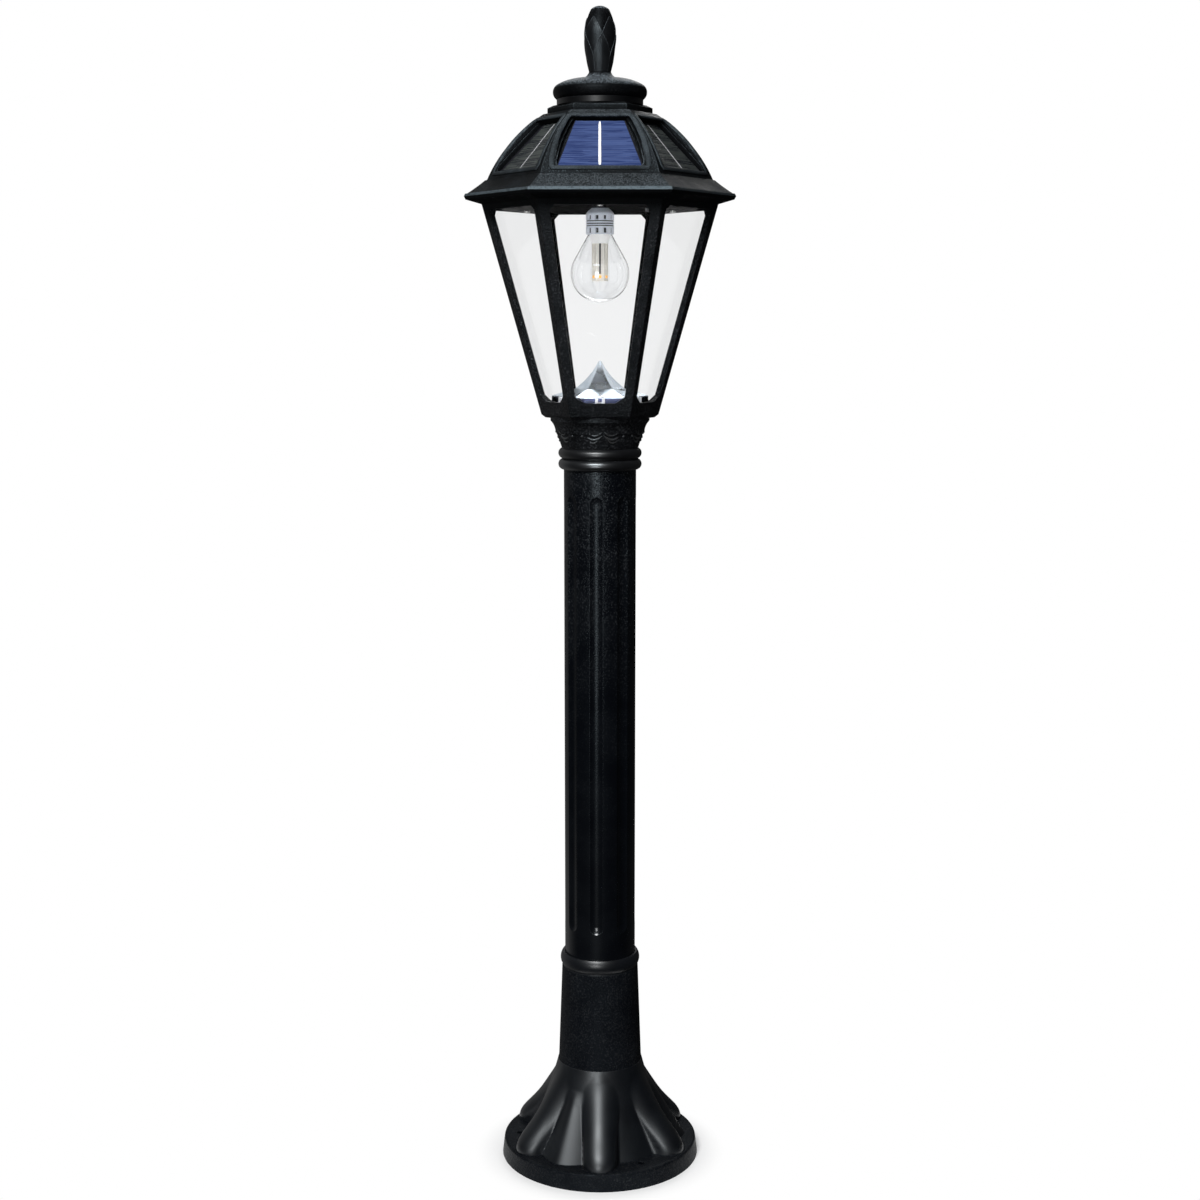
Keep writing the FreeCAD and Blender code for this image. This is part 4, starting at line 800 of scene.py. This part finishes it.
def innerRing(form, shell, up):  # back of the skin, inside the foot's flare
    reach = reachAt(shell, petalSkin["bareValley"], up) - petalSkin["inset"]
    return [form.verts.new((math.sin(turn) * reach, -math.cos(turn) * reach, up))
            for turn in roundTurns(petalSkin["around"])]


def skinFoot():
    shell = shellOf("base_foot")
    valley = math.radians(petalSkin["bareValley"] - 90)
    spot = Vector((math.cos(valley), math.sin(valley), 0)) * petalSkin["flangeSpot"]
    flange = shell.ray_cast(spot + Vector((0, 0, castFrom)), Vector((0, 0, -1)))[0].z
    low = flange + petalSkin["lift"]
    rise = petalSkin["high"] - low
    inner = reversed(shares(petalSkin["innerLevels"]))
    form = bmesh.new()
    rings = [skinRing(form, shell, low, petalSkin["drop"])]
    rings += [skinRing(form, shell, low + rise * share) for share in shares(petalSkin["levels"])]
    rings += [innerRing(form, shell, low + rise * share) for share in inner]
    joinLoop(form, rings)
    finishPiece("petalSkin", form, petalResin, "stand")


skinFoot()
print("foot skin laid")


# Raised rims round the six recesses of the roof

recessRim = {"faces": 6, "low": roofFoot + 29.8 * mm, "high": roofFoot + 84.2 * mm, "lowHalf": 47.6 * mm,
             "highHalf": 30.5 * mm, "bulge": 3.8 * mm, "corner": 0.06, "cornerTuck": 1.6 * mm,
             "castTurn": 29.0, "castStep": 1.0 * mm, "steps": 20}
rimHalf = ((2.5 * mm, -0.8 * mm), (2.4 * mm, 0.5 * mm), (1.7 * mm, 1.05 * mm))  # section: sideways and proud
rimSection = [(-wide, proud) for wide, proud in rimHalf] + [(0.0, 1.3 * mm), *reversed(rimHalf)]


def rimPath():  # right side going up, then the left side going down: sideways and height
    rise = recessRim["high"] - recessRim["low"]
    side = []
    for share in shares(recessRim["steps"]):
        across = recessRim["lowHalf"] + (recessRim["highHalf"] - recessRim["lowHalf"]) * share
        across += 4 * recessRim["bulge"] * share * (1 - share)
        tucked = min(share, 1 - share) / recessRim["corner"]
        across -= recessRim["cornerTuck"] * max(0.0, 1 - tucked) ** 2  # rounds the corner
        side.append((across, recessRim["low"] + rise * share))
    return side + [(-across, up) for across, up in reversed(side)]


def rimSpot(shell, across, up):  # place and outward normal on the front face
    bearing = recessRim["castTurn"]
    step = recessRim["castStep"]
    flat = math.cos(math.radians(bearing))
    out = reachAt(shell, bearing, up) * flat
    lean = (reachAt(shell, bearing, up + step) - reachAt(shell, bearing, up - step)) * flat / (2 * step)
    return Vector((across, -out, up)), Vector((0, -1, -lean)).normalized()


def raiseRims():
    shell = shellOf("roof_shell")
    spots = [rimSpot(shell, *spot) for spot in rimPath()]
    form = bmesh.new()
    for turn in roundTurns(recessRim["faces"]):
        turned = Matrix.Rotation(turn, 4, "Z")
        loops = []
        for index, (place, normal) in enumerate(spots):
            onward = (spots[(index + 1) % len(spots)][0] - place).normalized()
            onward += (place - spots[index - 1][0]).normalized()
            aside = onward.cross(normal).normalized()
            loops.append([form.verts.new(turned @ (place + aside * wide + normal * proud))
                          for wide, proud in rimSection])
        joinLoop(form, loops)
    finishPiece("recessRims", form, rimResin, "roof")


raiseRims()
print("recess rims raised")


# Bud leaves on the finial: two tiers of pointed leaves that overlap

budTiers = ({"leaves": 5, "front": -28.0, "low": finialFoot + 41.3 * mm, "notch": finialFoot + 68.3 * mm,
             "tip": finialFoot + 86.3 * mm, "thick": 0.7 * mm},
            {"leaves": 5, "front": 8.0, "low": finialFoot + 29.3 * mm, "notch": finialFoot + 46.3 * mm,
             "tip": finialFoot + 69.3 * mm, "thick": 1.0 * mm})
budLeaf = {"rows": 18, "columns": 12, "overlap": 1.02, "narrowing": 0.97, "point": 1.5, "riseRate": 3.0,
           "flat": 0.72, "border": 0.35, "borderPower": 6, "borderRate": 4, "borderRoot": 0.2, "rib": 0.22,
           "ribNarrow": 7, "sunk": 0.4 * mm, "sharp": 0.9}


def leafLift(tier, rise, past, w):  # height of the leaf's face over the bud, w from -1 to 1 across it
    edge = min(1.0, past * budLeaf["borderRate"] + budLeaf["borderRoot"])
    border = abs(w) ** budLeaf["borderPower"] * budLeaf["border"] * edge
    rib = max(0.0, 1 - abs(w) * budLeaf["ribNarrow"]) * budLeaf["rib"]
    return tier["thick"] * rise * (budLeaf["flat"] + border + rib * (1 - past))


def addLeaf(form, shell, tier, bearing):
    full = 180 / tier["leaves"]
    outer, inner = [], []
    for t in shares(budLeaf["rows"]):
        up = tier["low"] + (tier["tip"] - tier["low"]) * t
        past = max(0.0, (up - tier["notch"]) / (tier["tip"] - tier["notch"]))
        half = full * (budLeaf["overlap"] - past ** budLeaf["point"] * budLeaf["narrowing"])
        rise = min(1.0, t * budLeaf["riseRate"])
        outerRow, innerRow = [], []
        for share in shares(budLeaf["columns"]):
            w = share * 2 - 1
            spot, normal = outerPoint(shell, bearing + half * w, up)
            outerRow.append(form.verts.new(spot + normal * leafLift(tier, rise, past, w)))
            innerRow.append(form.verts.new(spot - normal * budLeaf["sunk"]))
        outer.append(outerRow)
        inner.append(innerRow)
    joinGrid(form, outer)
    joinGrid(form, inner)
    for end in (0, -1):
        joinGrid(form, [outer[end], inner[end]])
        joinGrid(form, [[row[end] for row in outer], [row[end] for row in inner]])


def carveBud():
    shell = shellOf("finial")
    for index, tier in enumerate(budTiers):
        form = bmesh.new()
        for leaf in range(tier["leaves"]):
            addLeaf(form, shell, tier, tier["front"] + 360 / tier["leaves"] * leaf)
        finishPiece(f"budLeaves{index + 1}", form, budResin, "roof", budLeaf["sharp"])


carveBud()
print("finial bud carved")


# Soft flare from the bud's waist to the disc

neckFlare = {"footR": 18.5 * mm, "waistR": 11.0 * mm, "boreR": 9.0 * mm, "tall": 8.9 * mm, "sunk": 0.4 * mm,
             "curve": 2.2, "rows": 12, "around": 96}


def turnFlare():
    above = Vector((neckFlare["footR"], 0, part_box("finial")[1].z + neckFlare["tall"]))
    low = shellOf("finial").ray_cast(above, Vector((0, 0, -1)))[0].z - neckFlare["sunk"]
    profile = []
    for share in shares(neckFlare["rows"]):
        swell = (neckFlare["footR"] - neckFlare["waistR"]) * (1 - share) ** neckFlare["curve"]
        profile.append((neckFlare["waistR"] + swell, low + neckFlare["tall"] * share))
    profile += [(neckFlare["boreR"], low + neckFlare["tall"]), (neckFlare["boreR"], low)]
    form = bmesh.new()
    joinLoop(form, [[form.verts.new((reach * math.cos(turn), reach * math.sin(turn), up))
                     for turn in roundTurns(neckFlare["around"])] for reach, up in profile])
    finishPiece("neckFlare", form, finialResin, "roof")


turnFlare()
print("neck flare turned")


# Bulb collar: domed top, two rows of slots and three grooves between them

collarShape = {"steps": 140, "straight": 20.4 * mm, "neckR": 9.0 * mm, "topR": 8.4 * mm, "boreR": 0.5 * mm,
               "rim": 0.9 * mm, "wall": 1.2 * mm, "seat": 2.0 * mm, "edge": 0.2 * mm, "slotDeep": 1.5 * mm,
               "slotEvery": 14, "slotWide": 5, "slotRows": ((1.4 * mm, 6.8 * mm), (15.4 * mm, 19.4 * mm)),
               "grooves": (8.2 * mm, 10.4 * mm, 13.0 * mm), "grooveDeep": 0.6 * mm, "grooveTall": 1.3 * mm,
               "domeSteps": 8, "domeCurve": 1.5, "sharp": 0.5}


def collarProfile(low, high):  # (radius, height) pairs from the foot up, closed through the bore
    shape = collarShape
    wide = high.x
    edge = shape["edge"]
    foot = wide - shape["rim"]
    inside = foot - shape["wall"]
    turned = [(inside, shape["seat"]), (inside, 0), (foot, 0), (wide, shape["rim"])]
    bands = [(*row, 0.0) for row in shape["slotRows"]]
    bands += [(up, up + shape["grooveTall"], shape["grooveDeep"]) for up in shape["grooves"]]
    for bandLow, bandHigh, deep in sorted(bands):
        turned += [(wide, bandLow), (wide - deep, bandLow + edge)]
        turned += [(wide - deep, bandHigh - edge), (wide, bandHigh)]
    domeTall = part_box("ceiling_plate")[0].z - low.z - shape["straight"]
    for share in shares(shape["domeSteps"]):
        reach = shape["neckR"] + (wide - shape["neckR"]) * (1 - share ** shape["domeCurve"])
        turned.append((reach, shape["straight"] + domeTall * share))
    tall = high.z - low.z
    turned += [(shape["topR"], tall - edge), (shape["topR"], tall)]
    turned += [(shape["boreR"], tall), (shape["boreR"], shape["seat"])]
    return [(radius, low.z + up) for radius, up in turned]


def slotCut(step, up):  # depth of the slot at one place of the collar
    inRow = any(rowLow < up < rowHigh for rowLow, rowHigh in collarShape["slotRows"])
    inSlot = step % collarShape["slotEvery"] < collarShape["slotWide"]
    return collarShape["slotDeep"] if inRow and inSlot else 0.0


def turnCollar():
    low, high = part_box("bulb_collar")
    form = bmesh.new()
    rings = []
    for radius, up in collarProfile(low, high):
        ring = []
        for step, turn in enumerate(roundTurns(collarShape["steps"])):
            reach = radius - slotCut(step, up - low.z)
            ring.append(form.verts.new((reach * math.cos(turn), reach * math.sin(turn), up)))
        rings.append(ring)
    joinLoop(form, rings)
    shallow = high.x - collarShape["grooveDeep"] / 2
    # the sunk faces of slots and grooves take painted shade
    for face in form.faces:
        reach = max(vert.co.xy.length for vert in face.verts)
        level = face.calc_center_median().z - low.z
        sunk = high.x - 2 * collarShape["slotDeep"] < reach < shallow
        face.material_index = 1 if sunk and collarShape["rim"] < level < collarShape["straight"] else 0
    collar = finishPiece("bulbCollarShell", form, collarWhite, "bulb", collarShape["sharp"])
    collar.data.materials.append(slotShade)
    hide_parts("bulb_collar")


turnCollar()
print("bulb collar turned")


# Floor, light and camera

white = (1, 1, 1, 1)
studio = {"clearFrom": 0.098, "clearTo": 0.14, "floorR": 0.16, "floorSides": 96, "floorScale": 180.0,
          "floorDull": (0.90, 0.90, 0.90, 1), "floorPale": (0.93, 0.93, 0.93, 1),
          "sky": (0.16, 0.164, 0.168, 1), "mirroredDark": (0, 0, 0, 1),
          "mirroredBack": (-0.2, 0.6, 0.10, 1.0), "mirroredSide": (-0.8, 0.35, 0.18, 0.02)}
lamps = {"stripLamp": {"place": (-0.55, -2.62, 0.62), "aim": (0, 0, 0.6), "power": 27.0, "size": (0.72, 1.1)},
         "frontLamp": {"place": (-0.50, -1.75, 2.28), "aim": (0, 0, 0.55), "power": 62.0, "size": (1.0, 0.5)},
         "backLamp": {"place": (0.25, 2.0, 2.3), "aim": (0, 0, 0.55), "power": 16.0, "size": (1.2, 0.6)}}
photoCamera = {"lens": 56.97, "sensor": 36.0, "place": (0, -1.98427, 0.91794), "tilt": 81.271}


def floorFinish():  # matte with the shadow round the foot, plain white farther out
    finish = bpy.data.materials.new("paleFloor")
    finish.use_nodes = True
    tree = finish.node_tree
    tree.nodes.clear()
    matte = addNode(tree, "ShaderNodeBsdfDiffuse")
    patches = noise(tree, objectPlace(tree), studio["floorScale"])
    plug(tree, matte.inputs["Color"], mixColour(tree, patches, studio["floorDull"], studio["floorPale"]))
    glow = addNode(tree, "ShaderNodeEmission")
    light = addNode(tree, "ShaderNodeLightPath")
    seen = calc(tree, "MAXIMUM", light.outputs["Is Camera Ray"], light.outputs["Is Glossy Ray"])
    seen = calc(tree, "MAXIMUM", seen, light.outputs["Is Transmission Ray"])
    reach = addNode(tree, "ShaderNodeVectorMath", operation="LENGTH")
    plug(tree, reach.inputs[0], objectPlace(tree))
    clear = remap(tree, reach.outputs["Value"], studio["clearFrom"], studio["clearTo"])
    blend = addNode(tree, "ShaderNodeMixShader")
    plug(tree, blend.inputs[0], times(tree, clear, seen))
    plug(tree, blend.inputs[1], matte.outputs[0])
    plug(tree, blend.inputs[2], glow.outputs[0])
    plug(tree, addNode(tree, "ShaderNodeOutputMaterial").inputs["Surface"], blend.outputs[0])
    return finish


def layFloor():
    form = bmesh.new()
    form.faces.new([form.verts.new((math.cos(turn) * studio["floorR"], math.sin(turn) * studio["floorR"], 0))
                    for turn in roundTurns(studio["floorSides"])])
    mesh = bpy.data.meshes.new("paleFloor")
    form.to_mesh(mesh)
    form.free()
    floor = bpy.data.objects.new("paleFloor", mesh)
    scene.collection.objects.link(floor)
    mesh.materials.append(floorFinish())


def hangLamp(name, setting):
    lamp = bpy.data.lights.new(name, "AREA")
    lamp.shape = "RECTANGLE"
    lamp.energy = setting["power"]
    lamp.size, lamp.size_y = setting["size"]
    holder = bpy.data.objects.new(name, lamp)
    holder.location = setting["place"]
    aim = Vector(setting["aim"]) - holder.location
    holder.rotation_euler = aim.to_track_quat("-Z", "Y").to_euler()
    scene.collection.objects.link(holder)


def lightSky():
    world = bpy.data.worlds.new("studioSky")
    world.use_nodes = True
    scene.world = world
    tree = world.node_tree
    tree.nodes.clear()
    light = addNode(tree, "ShaderNodeLightPath")
    seen = calc(tree, "MAXIMUM", light.outputs["Is Camera Ray"], light.outputs["Is Transmission Ray"])
    way = splitAxes(tree, addNode(tree, "ShaderNodeTexCoord").outputs["Generated"])
    shade = times(tree, remap(tree, way["Y"], *studio["mirroredBack"]),
                  remap(tree, way["X"], *studio["mirroredSide"]))
    mirrored = mixColour(tree, shade, studio["mirroredDark"], white)  # pale behind and left, dark at the right
    colour = mixColour(tree, light.outputs["Is Glossy Ray"], studio["sky"], mirrored)
    sky = addNode(tree, "ShaderNodeBackground")
    plug(tree, sky.inputs["Color"], mixColour(tree, seen, colour, white))
    plug(tree, addNode(tree, "ShaderNodeOutputWorld").inputs["Surface"], sky.outputs[0])


def setCamera():
    camera = bpy.data.cameras.new("photoCamera")
    camera.lens = photoCamera["lens"]
    camera.sensor_width = photoCamera["sensor"]
    holder = bpy.data.objects.new("photoCamera", camera)
    holder.location = photoCamera["place"]
    holder.rotation_euler = (math.radians(photoCamera["tilt"]), 0, 0)
    scene.collection.objects.link(holder)
    scene.camera = holder


layFloor()
for lampName, lampSetting in lamps.items():
    hangLamp(lampName, lampSetting)
lightSky()
setCamera()
print("studio set")
